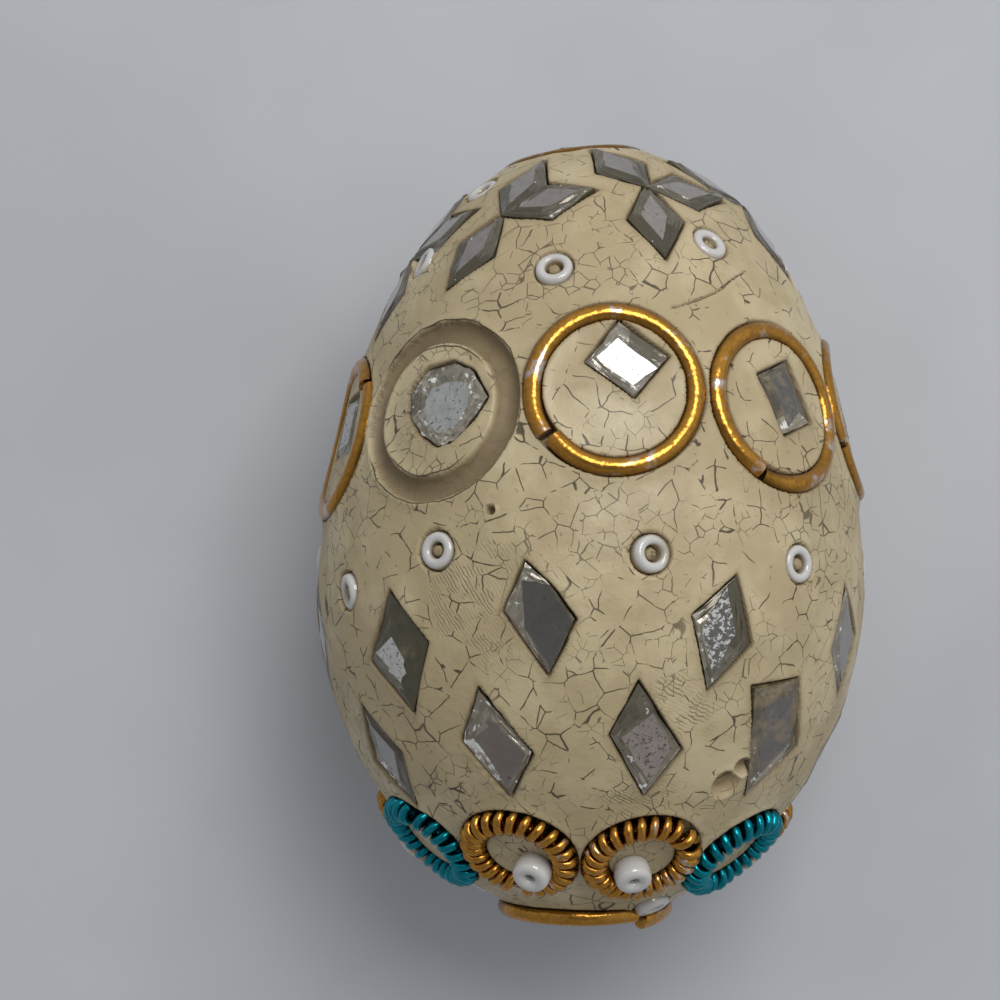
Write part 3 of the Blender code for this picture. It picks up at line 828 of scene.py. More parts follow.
def refined_egg(form, pressings):
    """A closed mesh on the plain skin, finer towards every edge that is pressed into it."""
    bm = bmesh.new()
    bmesh.ops.create_icosphere(bm, subdivisions=6, radius=1.0)
    for vertex in bm.verts:
        x, y, z = vertex.co
        length = form.narrow_length if z > 0 else form.blunt_length
        vertex.co = (x * form.radius, y * form.radius, z * length)
    for _ in range(FINER_ROUNDS):
        put_on_skin(form, bm)
        long_edges = edges_to_split(form, bm, pressings)
        bmesh.ops.subdivide_edges(bm, edges=long_edges, cuts=1, use_grid_fill=True)
        bmesh.ops.triangulate(bm, faces=bm.faces, quad_method="BEAUTY", ngon_method="BEAUTY")
    put_on_skin(form, bm)
    return bm


def put_on_skin(form, bm):
    """Move every vertex out or in to the plain skin."""
    points = np.array([vertex.co for vertex in bm.verts])
    start = points * (0, 0, 0.4)
    ways = points - start
    ways /= np.linalg.norm(ways, axis=1, keepdims=True)
    for vertex, point in zip(bm.verts, form.reach(start, ways, form.narrow_length * 1.2)):
        vertex.co = point


def longest_sides(apart, sides):
    """How long a triangle's side may be at each distance from a pressed edge."""
    steps, elsewhere = sides
    longest = np.full(len(apart), elsewhere * MM)
    for distance, length in reversed(steps):
        longest[apart < distance * MM] = length * MM
    return longest


def edges_to_split(form, bm, pressings):
    """The edges that are too long for where they lie."""
    points = np.array([vertex.co for vertex in bm.verts])
    bm.verts.index_update()
    ends = np.array([(edge.verts[0].index, edge.verts[1].index) for edge in bm.edges])
    middles = points[ends].mean(axis=1)
    lengths = np.linalg.norm(points[ends[:, 0]] - points[ends[:, 1]], axis=1)
    apart = np.full(len(middles), np.inf)
    for pressing in pressings:
        near = pressing.near(middles)
        x, y, _ = pressing.setting.local(middles[near]).T
        apart[near] = np.minimum(apart[near], pressing.edge(x, y))
    seen = form.normals(middles) @ UP_SIDE > -0.05
    longest = np.where(seen, longest_sides(apart, SEEN_SIDES), longest_sides(apart, FAR_SIDES))
    return [edge for edge, split in zip(bm.edges, lengths > longest) if split]


class Value:
    """One output of a shader node, with arithmetic that adds Math nodes."""

    def __init__(self, finish, source):
        self.finish = finish
        self.source = source

    def maths(self, operation, first, second=0.0, clamped=False):
        """A Math node on two values."""
        settings = {"operation": operation, "use_clamp": clamped}
        return self.finish.node("Math", settings, {0: first, 1: second})

    def __add__(self, other):
        return self.maths("ADD", self, other)

    def __radd__(self, other):
        return self.maths("ADD", other, self)

    def __sub__(self, other):
        return self.maths("SUBTRACT", self, other)

    def __rsub__(self, other):
        return self.maths("SUBTRACT", other, self)

    def __mul__(self, other):
        return self.maths("MULTIPLY", self, other)

    def __rmul__(self, other):
        return self.maths("MULTIPLY", other, self)

    def above(self, other):
        """The larger of two values."""
        return self.maths("MAXIMUM", self, other)

    def below(self, other):
        """The smaller of two values."""
        return self.maths("MINIMUM", self, other)

    def root(self):
        """The square root."""
        return self.maths("SQRT", self)

    def unsigned(self):
        """The value without its sign."""
        return self.maths("ABSOLUTE", self)

    def held(self):
        """The value kept between zero and one."""
        return self.maths("ADD", self, 0.0, clamped=True)

    def ramp(self, low, high):
        """Zero at low and one at high, smooth between."""
        settings = {"interpolation_type": "SMOOTHSTEP", "clamp": True}
        return self.finish.node("MapRange", settings, {"Value": self, "From Min": low, "From Max": high})


class Finish:
    """A node tree that is filled with few words: a material, or the world."""

    def __init__(self, owner):
        owner.use_nodes = True
        self.owner = owner
        self.tree = owner.node_tree

    def node(self, kind, settings, inputs, output=0):
        """Add a node: its settings first, then the values or links of its sockets."""
        made = self.tree.nodes.new("ShaderNode" + kind)
        for name, setting in settings.items():
            setattr(made, name, setting)
        for name, value in inputs.items():
            self.feed(made.inputs[name], value)
        return Value(self, made.outputs[output])

    def feed(self, socket, value):
        """Link a value to a socket, or set the socket."""
        if isinstance(value, Value):
            self.tree.links.new(value.source, socket)
        elif hasattr(value, "__len__") and len(value) == 3 and socket.type == "RGBA":
            socket.default_value = (*value, 1.0)
        else:
            socket.default_value = value

    def place(self):
        """Object coordinates."""
        return self.node("TexCoord", {}, {}, "Object")

    def noise(self, vector, scale, detail=3.0, roughness=0.55, output="Fac"):
        """Noise at a number of waves to the metre."""
        inputs = {"Vector": vector, "Scale": scale, "Detail": detail, "Roughness": roughness}
        return self.node("TexNoise", {}, inputs, output)

    def cells(self, vector, scale):
        """Distance to the edges of cells."""
        settings = {"feature": "DISTANCE_TO_EDGE"}
        return self.node("TexVoronoi", settings, {"Vector": vector, "Scale": scale}, "Distance")

    def minus(self, first, second):
        """One vector less another."""
        return self.node("VectorMath", {"operation": "SUBTRACT"}, {0: first, 1: second})

    def dot(self, first, second):
        """How far one vector goes along another."""
        return self.node("VectorMath", {"operation": "DOT_PRODUCT"}, {0: first, 1: second}, "Value")

    def shifted(self, vector, scale, amount):
        """A vector moved about by noise."""
        colour = self.noise(vector, scale, 2.0, output="Color")
        centred = self.minus(colour, (0.5, 0.5, 0.5))
        moved = self.node("VectorMath", {"operation": "SCALE"}, {0: centred, "Scale": amount})
        return self.node("VectorMath", {"operation": "ADD"}, {0: vector, 1: moved})

    def stretched(self, vector, factors):
        """A vector with each part multiplied."""
        return self.node("VectorMath", {"operation": "MULTIPLY"}, {0: vector, 1: factors})

    def mix(self, factor, first, second):
        """Mix two colours."""
        return self.node("Mix", {"data_type": "RGBA"}, {0: factor, 6: first, 7: second}, 2)

    def mark(self, name):
        """A mark stored on the mesh."""
        return self.node("Attribute", {"attribute_name": name}, {}, "Fac")

    def bump(self, height, distance, strength=1.0):
        """Normals that follow a height."""
        inputs = {"Height": height, "Distance": distance, "Strength": strength}
        return self.node("Bump", {}, inputs, "Normal")

    def surface(self, **inputs):
        """Set the Principled shader's sockets."""
        shader = self.tree.nodes["Principled BSDF"]
        for name, value in inputs.items():
            self.feed(shader.inputs[name.replace("_", " ")], value)
        return self.owner


def new_material(name):
    """An empty finish for a new material."""
    return Finish(bpy.data.materials.new(name))


def lost_ring_cracks(finish, place, breaks, form, ring_radius):
    """Cracks along both edges of the lost ring's groove, and across the clay inside it."""
    setting = setting_at(form, LOST_RING)
    turn = form.place.to_3x3()
    away = finish.minus(place, tuple(form.place @ Vector(setting.centre)))
    east, north = (finish.dot(away, tuple(turn @ Vector(way))) for way in (setting.east, setting.north))
    out = (east * east + north * north).root()
    far_along = north.unsigned().ramp(0.5 * ring_radius, 0.7 * ring_radius)
    cracks = []
    for radius in (ring_radius + 1.12 * MM, ring_radius - 1.15 * MM):
        apart = (out - radius).unsigned()
        cracks.append((1 - apart.ramp(0.03 * MM, 0.09 * MM)) * far_along)
    wave = north.maths("ARCTAN2", north, east) * 6.0 + breaks * 5.0
    spokes = 1 - wave.maths("SINE", wave).unsigned().ramp(0.06, 0.16)
    inside = out.ramp(2.0 * MM, 2.2 * MM) * (1 - out.ramp(3.1 * MM, 3.6 * MM)) * breaks.ramp(0.40, 0.50)
    return cracks[0].above(cracks[1]).above(spokes * inside)


def long_crack(finish, place, form):
    """The long open crack."""
    points = [form.place @ Vector(form.skin_at(station * MM, angle)) for station, angle in LONG_CRACK]
    nearest = None
    for start, end in zip(points, points[1:]):
        run = end - start
        away = finish.minus(place, tuple(start))
        share = finish.dot(away, tuple(run / run.length_squared)).held()
        foot = finish.node("VectorMath", {"operation": "SCALE"}, {0: tuple(run), "Scale": share})
        apart = finish.node("VectorMath", {"operation": "DISTANCE"}, {0: away, 1: foot}, "Value")
        nearest = apart if nearest is None else nearest.below(apart)
    return 1 - nearest.ramp(0.045 * MM, 0.11 * MM)


def clay_material(colours, form, ring_radius):
    """Pale clay with a dull polish, crazed all over, with dirt and painted shade in what is pressed into it.
    """
    finish = new_material("crazed_clay")
    place = finish.place()
    drifting = finish.shifted(place, 420.0, 0.00065)
    wander = finish.noise(place, 95.0, 1.0)
    breaks = finish.noise(place, 520.0, 2.0)
    cells = finish.cells(drifting, 430.0)
    fine_cells = finish.cells(drifting, 880.0)
    wide_half = 0.011 * wander.ramp(0.28, 0.52) * breaks.ramp(0.44, 0.55)
    wide = (1 - (cells - wide_half).ramp(0.0, 0.017)) * wide_half.ramp(0.0004, 0.005)
    fine_half = 0.021 * (1 - wander).ramp(0.44, 0.66) * (1 - breaks).ramp(0.48, 0.60)
    fine = (1 - (fine_cells - fine_half).ramp(0.0, 0.026)) * fine_half.ramp(0.0004, 0.007)
    kept = 1 - 0.75 * finish.mark("smooth")
    scratches = finish.node("TexWave", {"bands_direction": "DIAGONAL"},
                            {"Vector": place, "Scale": 1350.0, "Distortion": 5.0, "Detail": 2.0}, "Fac")
    strokes = finish.mark("hatch") * (1 - scratches.ramp(0.05, 0.25)) * (1 - breaks).ramp(0.50, 0.56)
    crack = wide.above(fine * 0.8).above(strokes * 0.8) * kept
    crack = crack.above(lost_ring_cracks(finish, drifting, breaks, form, ring_radius))
    crack = crack.above(long_crack(finish, drifting, form)).held()
    grain = finish.noise(place, 2600.0, 2.0, 0.6)
    cloud = finish.noise(place, 120.0, 3.0, 0.62)
    mottle = finish.noise(place, 520.0, 3.0, 0.65)
    colour = finish.mix(cloud.ramp(0.42, 0.64), tuple(colours.clay), tuple(colours.clay_pale))
    colour = finish.mix(mottle.ramp(0.50, 0.78) * 0.40, colour, tuple(colours.clay_dull))
    speck = grain.ramp(0.66, 0.72) * mottle.ramp(0.50, 0.60)
    colour = finish.mix(speck * 0.75, colour, tuple(colours.dirt))
    # Dirt and painted shade: the clay darkened where things are pressed into it
    dirt = (finish.mark("dirt") * (0.45 + 0.9 * mottle)).held()
    colour = finish.mix(dirt, colour, tuple(colours.pale_dirt_and_shade))
    # Pocket walls, the lost groove's rim and the open crack in dark brown: dirt and painted shade
    colour = finish.mix((finish.mark("wall") * 0.85).held(), colour, tuple(colours.dirt))
    colour = finish.mix(crack * 0.94, colour, tuple(colours.crack))
    ink = finish.mark("ink") * (1 - fine_cells.ramp(0.03, 0.09)) * breaks.ramp(0.48, 0.56)
    colour = finish.mix(ink.held() * 0.9, colour, INK_COLOUR)
    height = grain * 0.10 + cloud * 0.9 + mottle * 0.35 + finish.mark("hatch") * scratches * 0.05
    roughness = 0.42 + 0.22 * grain + 0.25 * dirt - 0.10 * cloud.ramp(0.42, 0.64)
    return finish.surface(Base_Color=colour, Roughness=roughness, Normal=finish.bump(height, 0.00022))


def wire_material(name, bright, worn, share_worn, roughness):
    """Gilt or lacquered wire, worn to the bare metal in places, and darkened as painted shade where it lies
    low.
    """
    finish = new_material(name)
    place = finish.place()
    patches = finish.noise(place, 330.0, 3.0, 0.6)
    scuffs = finish.noise(place, 2200.0, 3.0, 0.6)
    bare = (patches * 0.75 + scuffs * 0.25).ramp(1.0 - share_worn - 0.06, 1.0 - share_worn + 0.05)
    bare = bare.above(finish.mark("cut"))
    colour = finish.mix(scuffs.ramp(0.40, 0.75) * 0.6, bright, tuple(part * 0.50 for part in bright))
    colour = finish.mix(bare * 0.9, colour, worn)
    # Painted shade: the metal darkened where the wire lies low in the clay and on the lower side of the
    # spring turns
    low_shade = finish.mark("low")
    colour = finish.mix(low_shade * 0.9, colour, tuple(part * 0.16 for part in bright))
    uneven = finish.noise(place, 900.0, 2.0)
    return finish.surface(Base_Color=colour, Metallic=1.0 - 0.15 * bare, Roughness=roughness + 0.16 * scuffs,
                          Normal=finish.bump(uneven + scuffs * 0.12, 0.00010))


def glass_material(colours):
    """Old mirror glass: clouded silvering with dark specks, under a clear polish, with a brownish rim,
    painted reflection on its faces and painted glints on its rims.
    """
    finish = new_material("old_mirror_glass")
    place = finish.place()
    spots = finish.noise(place, 2600.0, 4.0, 0.7)
    clouds = finish.noise(place, 620.0, 3.0, 0.6)
    streaks = finish.noise(finish.stretched(place, (1.0, 1.0, 0.25)), 1500.0, 2.0)
    # Each face's stored value is partly the glass's own darkness and partly painted reflection
    shade = finish.mark("shade")
    rim = finish.mark("rim")
    dark = ((spots - 0.5) * 2.6 + (clouds - 0.5) * 0.6 + finish.mark("specks") * 0.9 - 0.42).ramp(0.0, 0.10)
    tone = shade * (0.45 + 0.65 * clouds + 0.45 * streaks) * (1 - dark * 0.88)
    deep = finish.mix(finish.mark("warm"), tuple(colours.slate), tuple(colours.slate_warm))
    deep = finish.mix(rim, deep, tuple(colours.rim))
    clear = finish.mix(finish.mark("warm") * 0.8, tuple(colours.silver), tuple(colours.silver_warm))
    clear = finish.mix(rim * 0.85, clear, tuple(colours.rim_clear))
    colour = finish.mix(tone.held(), deep, clear)
    # Painted glints: bright silver streaks along the slanting rims, more where a face is painted lighter
    glint = (streaks + shade * 0.30).ramp(0.74, 0.80) * rim * (2.0 - rim)
    colour = finish.mix(glint * 0.9, colour, tuple(colours.silver))
    film = (finish.mark("film") * 1.9 + clouds - 0.95).ramp(0.0, 0.35)
    colour = finish.mix(film * 0.8, colour, tuple(colours.pale_dirt_and_shade))
    roughness = 0.13 + 0.45 * film + 0.25 * dark + 0.10 * streaks
    return finish.surface(Base_Color=colour, Metallic=(0.62 - 0.5 * film - 0.28 * rim).held(),
                          Roughness=roughness, Normal=finish.bump(clouds * 0.7 + streaks * 0.3, 0.00010),
                          Coat_Weight=(0.75 - 0.5 * film - 0.30 * rim).held(), Coat_Roughness=0.05)


def bead_material(colours):
    """White bead glass with a little dirt."""
    finish = new_material("white_bead_glass")
    place = finish.place()
    stain = finish.noise(place, 900.0, 4.0, 0.6).ramp(0.55, 0.80)
    colour = finish.mix(stain * 0.35, tuple(colours.bead), tuple(colours.clay))
    colour = finish.mix(finish.mark("low") * 0.9, colour, tuple(colours.pale_dirt_and_shade))
    uneven = finish.bump(finish.noise(place, 1500.0), 0.00003)
    return finish.surface(Base_Color=colour, Roughness=0.16 + 0.25 * stain, Normal=uneven,
                          Coat_Weight=0.6, Coat_Roughness=0.08)


def floor_material(colours):
    """Plain pale floor with a faint unevenness."""
    finish = new_material("pale_floor")
    cloud = finish.noise(finish.place(), 18.0, 3.0, 0.6)
    darker = tuple(part * 0.90 for part in colours.floor)
    colour = finish.mix(cloud.ramp(0.35, 0.7), tuple(colours.floor), darker)
    return finish.surface(Base_Color=colour, Roughness=0.62)


def finished_piece(name, mesh, material, nodes=()):
    """Show a mesh as a piece of the egg."""
    piece = bpy.data.objects.new(name, mesh)
    bpy.context.scene.collection.objects.link(piece)
    mesh.materials.clear()
    mesh.materials.append(material)
    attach(piece, "root")
    if nodes:
        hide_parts(*nodes)
    return piece


def store(mesh, name, values, domain="POINT"):
    """Keep a mark on a mesh."""
    layer = mesh.attributes.new(name, "FLOAT", domain)
    layer.data.foreach_set("value", np.asarray(values, np.float32))


def mesh_of(bm, name, matrix=None):
    """A mesh with outward faces from a bmesh, in its place."""
    if matrix:
        bmesh.ops.transform(bm, matrix=matrix, verts=bm.verts)
    bmesh.ops.recalc_face_normals(bm, faces=bm.faces)
    mesh = bpy.data.meshes.new(name)
    bm.to_mesh(mesh)
    bm.free()
    return mesh


def glass_nodes():
    """The frame's nodes that are glass."""
    return [name for name in sorted(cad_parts) if "mirror" in name or "diamond" in name]


def wire_nodes():
    """The frame's nodes that are split wire rings."""
    return [name for name in sorted(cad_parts) if "gold_ring" in name or "end_ring" in name]


def spring_nodes():
    """The frame's nodes that are spring rings."""
    return [name for name in sorted(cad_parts) if "_coil_" in name]


def bead_settings(form):
    """Where beads are pressed flush into the clay."""
    places = row_places(ROW_BEADS_SEEN, ROW_BEADS_AROUND) + row_places(UPPER_BEADS_SEEN, UPPER_BEADS_AROUND)
    return [setting_at(form, place) for place in (*places, END_BEAD, *BLUNT_BEADS)]


def pressings_of(form, sizes):
    """Everything that is pressed into the clay."""
    wires = [Ring(form, name) for name in wire_nodes()]
    springs = [Ring(form, name) for name in spring_nodes()]
    lost = PlainRing(setting_at(form, LOST_RING), wires[0].radius)
    bead = sizes.bead / 2
    hole = sizes.bead_hole / 2
    pressings = [EmptyGroove(lost, half_width=0.98 * MM, depth=0.85 * MM)]
    pressings += [WireGroove(ring, sizes.wire * 0.46, depth=0.9 * MM, lip=0.16 * MM) for ring in wires]
    pressings += [WireGroove(ring, sizes.spring * 0.46, depth=0.95 * MM, lip=0.10 * MM) for ring in springs]
    pressings += [GlassPocket(glass) for name in glass_nodes() for glass in glass_of(form, name)]
    pressings += [BeadSeat(setting, bead, hole, depth=1.0 * MM) for setting in bead_settings(form)]
    for place, radius, depth, dome, dirt in HOLLOWS:
        pressings.append(Hollow(setting_at(form, place), radius * MM, depth * MM, dome * MM, dirt))
    pressings.append(OpenCrack(form, LONG_CRACK, half_width=0.055 * MM))
    pressings.append(Mark(setting_at(form, INK_SMUDGE), "ink", radius=2.4 * MM))
    pressings += [Mark(setting_at(form, place), "hatch", radius * MM) for place, radius in HATCHED]
    return pressings


class EGG_OT_clay(bpy.types.Operator):
    """Make the clay egg with all that is pressed into it"""

    bl_idname = "egg.clay"
    bl_label = "Clay"

    def execute(self, context):
        """Refine the plain egg, press everything in and lay it down."""
        form = EggForm(context.scene.egg_sizes)
        pressings = pressings_of(form, context.scene.egg_sizes)
        bm = refined_egg(form, pressings)
        skin = np.array([vertex.co for vertex in bm.verts])
        clay = Clay(skin, form.normals(skin))
        for pressing in pressings:
            near = pressing.near(skin)
            x, y, z = pressing.setting.local(skin[near]).T
            pressing.press(clay, near, x, y, z)
        worked = skin + clay.normals * clay.height[:, None]
        for vertex, point in zip(bm.verts, worked):
            laid = form.place @ Vector(point)
            vertex.co = (laid.x, laid.y, max(laid.z, 0.0))
        mesh = mesh_of(bm, "clay_egg")
        mesh.shade_smooth()
        for name, values in clay.marks.items():
            store(mesh, name, values)
        ring_radius = Ring(form, wire_nodes()[0]).radius
        material = clay_material(context.scene.egg_colours, form, ring_radius)
        finished_piece("clay_egg", mesh, material, ("egg_body",))
        return {"FINISHED"}


def cut_glass(form, glass, rng):
    """One cut piece of glass: a plate with slanting sides round its table, a little chipped."""
    look = glass.look
    bm = bmesh.new()
    levels = ((glass.outline, -PLATE_DEPTH), (glass.outline, -SLANT_HEIGHT), (glass.table, 0.0))
    rings = [[bm.verts.new((x, y, height)) for x, y in corners] for corners, height in levels]
    count = len(glass.outline)
    for lower, upper in zip(rings, rings[1:]):
        for k in range(count):
            bm.faces.new((lower[k], lower[(k + 1) % count], upper[(k + 1) % count], upper[k]))
    bm.faces.new(rings[0])
    bm.faces.new(rings[-1])
    slopes = list(bm.faces)[count:2 * count]
    slanting = {edge for face in slopes for edge in face.edges}
    bmesh.ops.subdivide_edges(bm, edges=list(slanting), cuts=SLANT_CUTS, use_grid_fill=True)
    for vertex in bm.verts:
        if vertex.co.z > -PLATE_DEPTH / 2:
            jolt = rng.normal(0.0, CHIPPING, 3)
            flat = vertex.co.z > -0.01 * MM
            vertex.co += Vector((jolt[0], jolt[1], 0.0 if flat else jolt[2]))
    bmesh.ops.triangulate(bm, faces=[face for face in bm.faces if len(face.verts) == 4])
    # Each face gets its tone and painted reflection: the table's, its nearest side's, or a dark value for
    # the upright walls
    layers = [bm.faces.layers.float.new(name) for name in ("shade", "specks", "film", "warm", "rim")]
    middles = (glass.outline + np.roll(glass.outline, -1, axis=0) + glass.table) / 3
    for face in bm.faces:
        face.normal_update()
        shade = look.shade
        here = face.calc_center_median()
        rim = float(here.z < -0.002 * MM)
        if rim:
            nearest = np.argmin(np.hypot(middles[:, 0] - here.x, middles[:, 1] - here.y))
            shade = look.side_tones_and_reflections[nearest] * rng.uniform(0.6, 1.4)
        if face.normal.z < 0.15:
            shade = 0.04
            rim = 2.0
        specks = look.specks * (0.3 if rim else 1.0)
        for layer, value in zip(layers, (shade, specks, look.film, look.warm, rim)):
            face[layer] = value
    return mesh_of(bm, glass.name, glass.setting.matrix(form, -look.raised * MM))


def tube_mesh(form, name, points, thickness, resolution):
    """A wire along points of the egg's own frame, laid down with it."""
    curve = bpy.data.curves.new(name, "CURVE")
    curve.dimensions = "3D"
    curve.bevel_depth = thickness / 2
    curve.bevel_resolution = resolution
    curve.use_fill_caps = True
    spline = curve.splines.new("POLY")
    spline.points.add(len(points) - 1)
    for spot, point in zip(spline.points, points):
        spot.co = (*(form.place @ Vector(point)), 1)
    holder = bpy.data.objects.new(name, curve)
    bm = bmesh.new()
    bm.from_mesh(bpy.data.meshes.new_from_object(holder))
    bpy.data.objects.remove(holder)
    bpy.data.curves.remove(curve)
    bmesh.ops.remove_doubles(bm, verts=bm.verts, dist=0.001 * MM)
    for vertex in bm.verts:
        vertex.co.z = max(vertex.co.z, 0.0)
    mesh = mesh_of(bm, name)
    mesh.shade_smooth()
    mesh.set_sharp_from_angle(angle=math.radians(50))
    return mesh


def mark_wire(form, mesh, low_from, low_to):
    """Mark the cut ends of a wire and what of it lies low in the clay."""
    corners = form.own([vertex.co for vertex in mesh.vertices])
    store(mesh, "low", 1 - smooth_step(low_from, low_to, form.height(corners)))
    store(mesh, "cut", [float(len(polygon.vertices) > 4) for polygon in mesh.polygons], "FACE")


def wire_ring_mesh(form, ring, thickness, rng):
    """A ring bent from wire by hand, with its two cut ends a little apart."""
    split, first_out, last_out, first_up, last_up = RING_ENDS.get(ring.name, OTHER_RING_ENDS)
    half_gap = math.degrees(HALF_GAP / ring.radius)
    angles = np.linspace(half_gap, 360 - half_gap, RING_POINTS)
    near_first = 1 - smooth_step(0, BENT_REACH, angles)
    near_last = 1 - smooth_step(0, BENT_REACH, 360 - angles)
    phases = rng.uniform(0, math.tau, 3)
    uneven = sum(np.sin(np.radians(angles) * (k + 2) + phase) / (k + 2) for k, phase in enumerate(phases))
    radii = ring.radius + MM * (0.06 * uneven + first_out * near_first + last_out * near_last)
    lift = WIRE_LIFTS.get(ring.name, 0.0) + 0.02 * uneven + first_up * near_first + last_up * near_last
    heights = ring.height + lift * MM
    points = skin_ring(form, ring, split + angles, radii, heights)
    return tube_mesh(form, ring.name + "_wire", points, thickness, 6)


def spring_mesh(form, ring, sizes, ends, rng):
    """A ring of spring wire: a wire wound round and round along a circle."""
    first_angle, sweep, first_up = ends
    winding = (sizes.spring - sizes.spring_wire) / 2
    share = np.linspace(0, 1, sizes.spring_turns * TURN_POINTS)
    angles = first_angle + sweep * share + 0.7 * np.sin(math.tau * share * 5 + rng.uniform(0, 6))
    turns = math.tau * sizes.spring_turns * share
    radii = ring.radius + winding * np.cos(turns)
    heights = ring.height + winding * np.sin(turns) + first_up * MM * (1 - smooth_step(0, 0.04, share))
    points = skin_ring(form, ring, angles, radii, heights)
    return tube_mesh(form, ring.name + "_winding", points, sizes.spring_wire, 2)


def add_bead(bm, matrix, radius, hole, height):
    """Add a seed bead: a short tube of glass with rounded edges."""
    middle, half_wall, half_height = (radius + hole) / 2, (radius - hole) / 2, height / 2
    profile = []
    for k in range(BEAD_PROFILE_POINTS):
        a = math.tau * k / BEAD_PROFILE_POINTS
        out = math.copysign(abs(math.cos(a)) ** BEAD_SQUARENESS, math.cos(a)) * half_wall
        up = math.copysign(abs(math.sin(a)) ** BEAD_SQUARENESS, math.sin(a)) * half_height
        profile.append(bm.verts.new((middle + out, 0, up)))
    edges = [bm.edges.new((first, second)) for first, second in zip(profile, profile[1:] + profile[:1])]
    known = set(bm.verts) - set(profile)
    bmesh.ops.spin(bm, geom=profile + edges, axis=(0, 0, 1), cent=(0, 0, 0), angle=math.tau,
                   steps=BEAD_STEPS, use_merge=True)
    bmesh.ops.transform(bm, matrix=matrix, verts=[vertex for vertex in bm.verts if vertex not in known])


class EGG_OT_glass(bpy.types.Operator):
    """Make the mirror glass"""

    bl_idname = "egg.glass"
    bl_label = "Mirror glass"

    def execute(self, context):
        """Cut every piece of glass that the frame has."""
        form = EggForm(context.scene.egg_sizes)
        material = glass_material(context.scene.egg_colours)
        rng = np.random.default_rng(11)
        for name in glass_nodes():
            bm = bmesh.new()
            for glass in glass_of(form, name):
                bm.from_mesh(cut_glass(form, glass, rng))
            finished_piece(name + "_glass", mesh_of(bm, name + "_glass"), material, (name,))
        return {"FINISHED"}


class EGG_OT_wires(bpy.types.Operator):
    """Make the split rings of gilt wire"""

    bl_idname = "egg.wires"
    bl_label = "Wire rings"

    def execute(self, context):
        """Bend every split ring."""
        sizes = context.scene.egg_sizes
        colours = context.scene.egg_colours
        form = EggForm(sizes)
        material = wire_material("gilt_wire", tuple(colours.gold), tuple(colours.gold_worn), 0.40, 0.15)
        rng = np.random.default_rng(5)
        for name in wire_nodes():
            mesh = wire_ring_mesh(form, Ring(form, name), sizes.wire, rng)
            mark_wire(form, mesh, 0.0, 0.50 * MM)
            finished_piece(mesh.name, mesh, material, (name,))
        return {"FINISHED"}


class EGG_OT_springs(bpy.types.Operator):
    """Make the rings of spring wire"""

    bl_idname = "egg.springs"
    bl_label = "Spring rings"

    def execute(self, context):
        """Wind every spring ring."""
        sizes = context.scene.egg_sizes
        colours = context.scene.egg_colours
        form = EggForm(sizes)
        gold = wire_material("gilt_spring", tuple(colours.gold), tuple(colours.gold_worn), 0.40, 0.16)
        lacquer, rubbed = tuple(colours.turquoise), tuple(colours.turquoise_worn)
        turquoise = wire_material("turquoise_spring", lacquer, rubbed, 0.34, 0.20)
        finishes = {"gold": (gold, "gold_wire"), "turquoise": (turquoise, "turquoise_wire")}
        rng = np.random.default_rng(8)
        for name in spring_nodes():
            ends = SPRING_ENDS.get(name, (rng.uniform(0, 360), *OTHER_SPRING_END))
            mesh = spring_mesh(form, Ring(form, name), sizes, ends, rng)
            mark_wire(form, mesh, -0.35 * MM, 0.80 * MM)
            material, slot = finishes[name.partition("_")[0]]
            finished_piece(mesh.name, mesh, material, (name,))
        return {"FINISHED"}


class EGG_OT_beads(bpy.types.Operator):
    """Make the white seed beads"""

    bl_idname = "egg.beads"
    bl_label = "Seed beads"

    def execute(self, context):
        """Make the beads in the clay and those that stand in the spring rings."""
        sizes = context.scene.egg_sizes
        form = EggForm(sizes)
        material = bead_material(context.scene.egg_colours)
        rng = np.random.default_rng(3)
        radius, hole, height = sizes.bead / 2, sizes.bead_hole / 2, sizes.bead_height
        flush = [(setting, FLUSH_PROUD) for setting in bead_settings(form)]
        first_blunt = -len(BLUNT_BEADS)
        flush[first_blunt] = (flush[first_blunt][0], BLUNT_PROUD)
        standing = []
        for name in spring_nodes():
            if name.startswith("gold"):
                middle = Ring(form, name).setting
                east, north = STANDING_BEAD_SHIFTS.get(name, OTHER_BEAD_SHIFT)
                spot = middle.around(east * MM, north * MM)
                standing.append((Setting(spot, middle.normal, middle.north), STANDING_PROUD))
        for name, group in (("flush_beads", flush), ("standing_beads", standing)):
            bm = bmesh.new()
            for setting, proud in group:
                lean_x, lean_y = (Matrix.Rotation(rng.normal(0, BEAD_LEAN), 4, axis) for axis in "XY")
                size = rng.uniform(0.97, 1.03)
                matrix = setting.matrix(form, height / 2 - proud) @ (lean_x @ lean_y)
                opening = hole * HOLE_SHARES[name] * rng.uniform(0.9, 1.1)
                add_bead(bm, matrix, radius * size, opening, height)
            mesh = mesh_of(bm, name)
            mesh.shade_smooth()
            corners = form.own([vertex.co for vertex in mesh.vertices])
            store(mesh, "low", 1 - smooth_step(-0.25 * MM, 0.02 * MM, form.height(corners)))
            finished_piece(name, mesh, material)
        return {"FINISHED"}


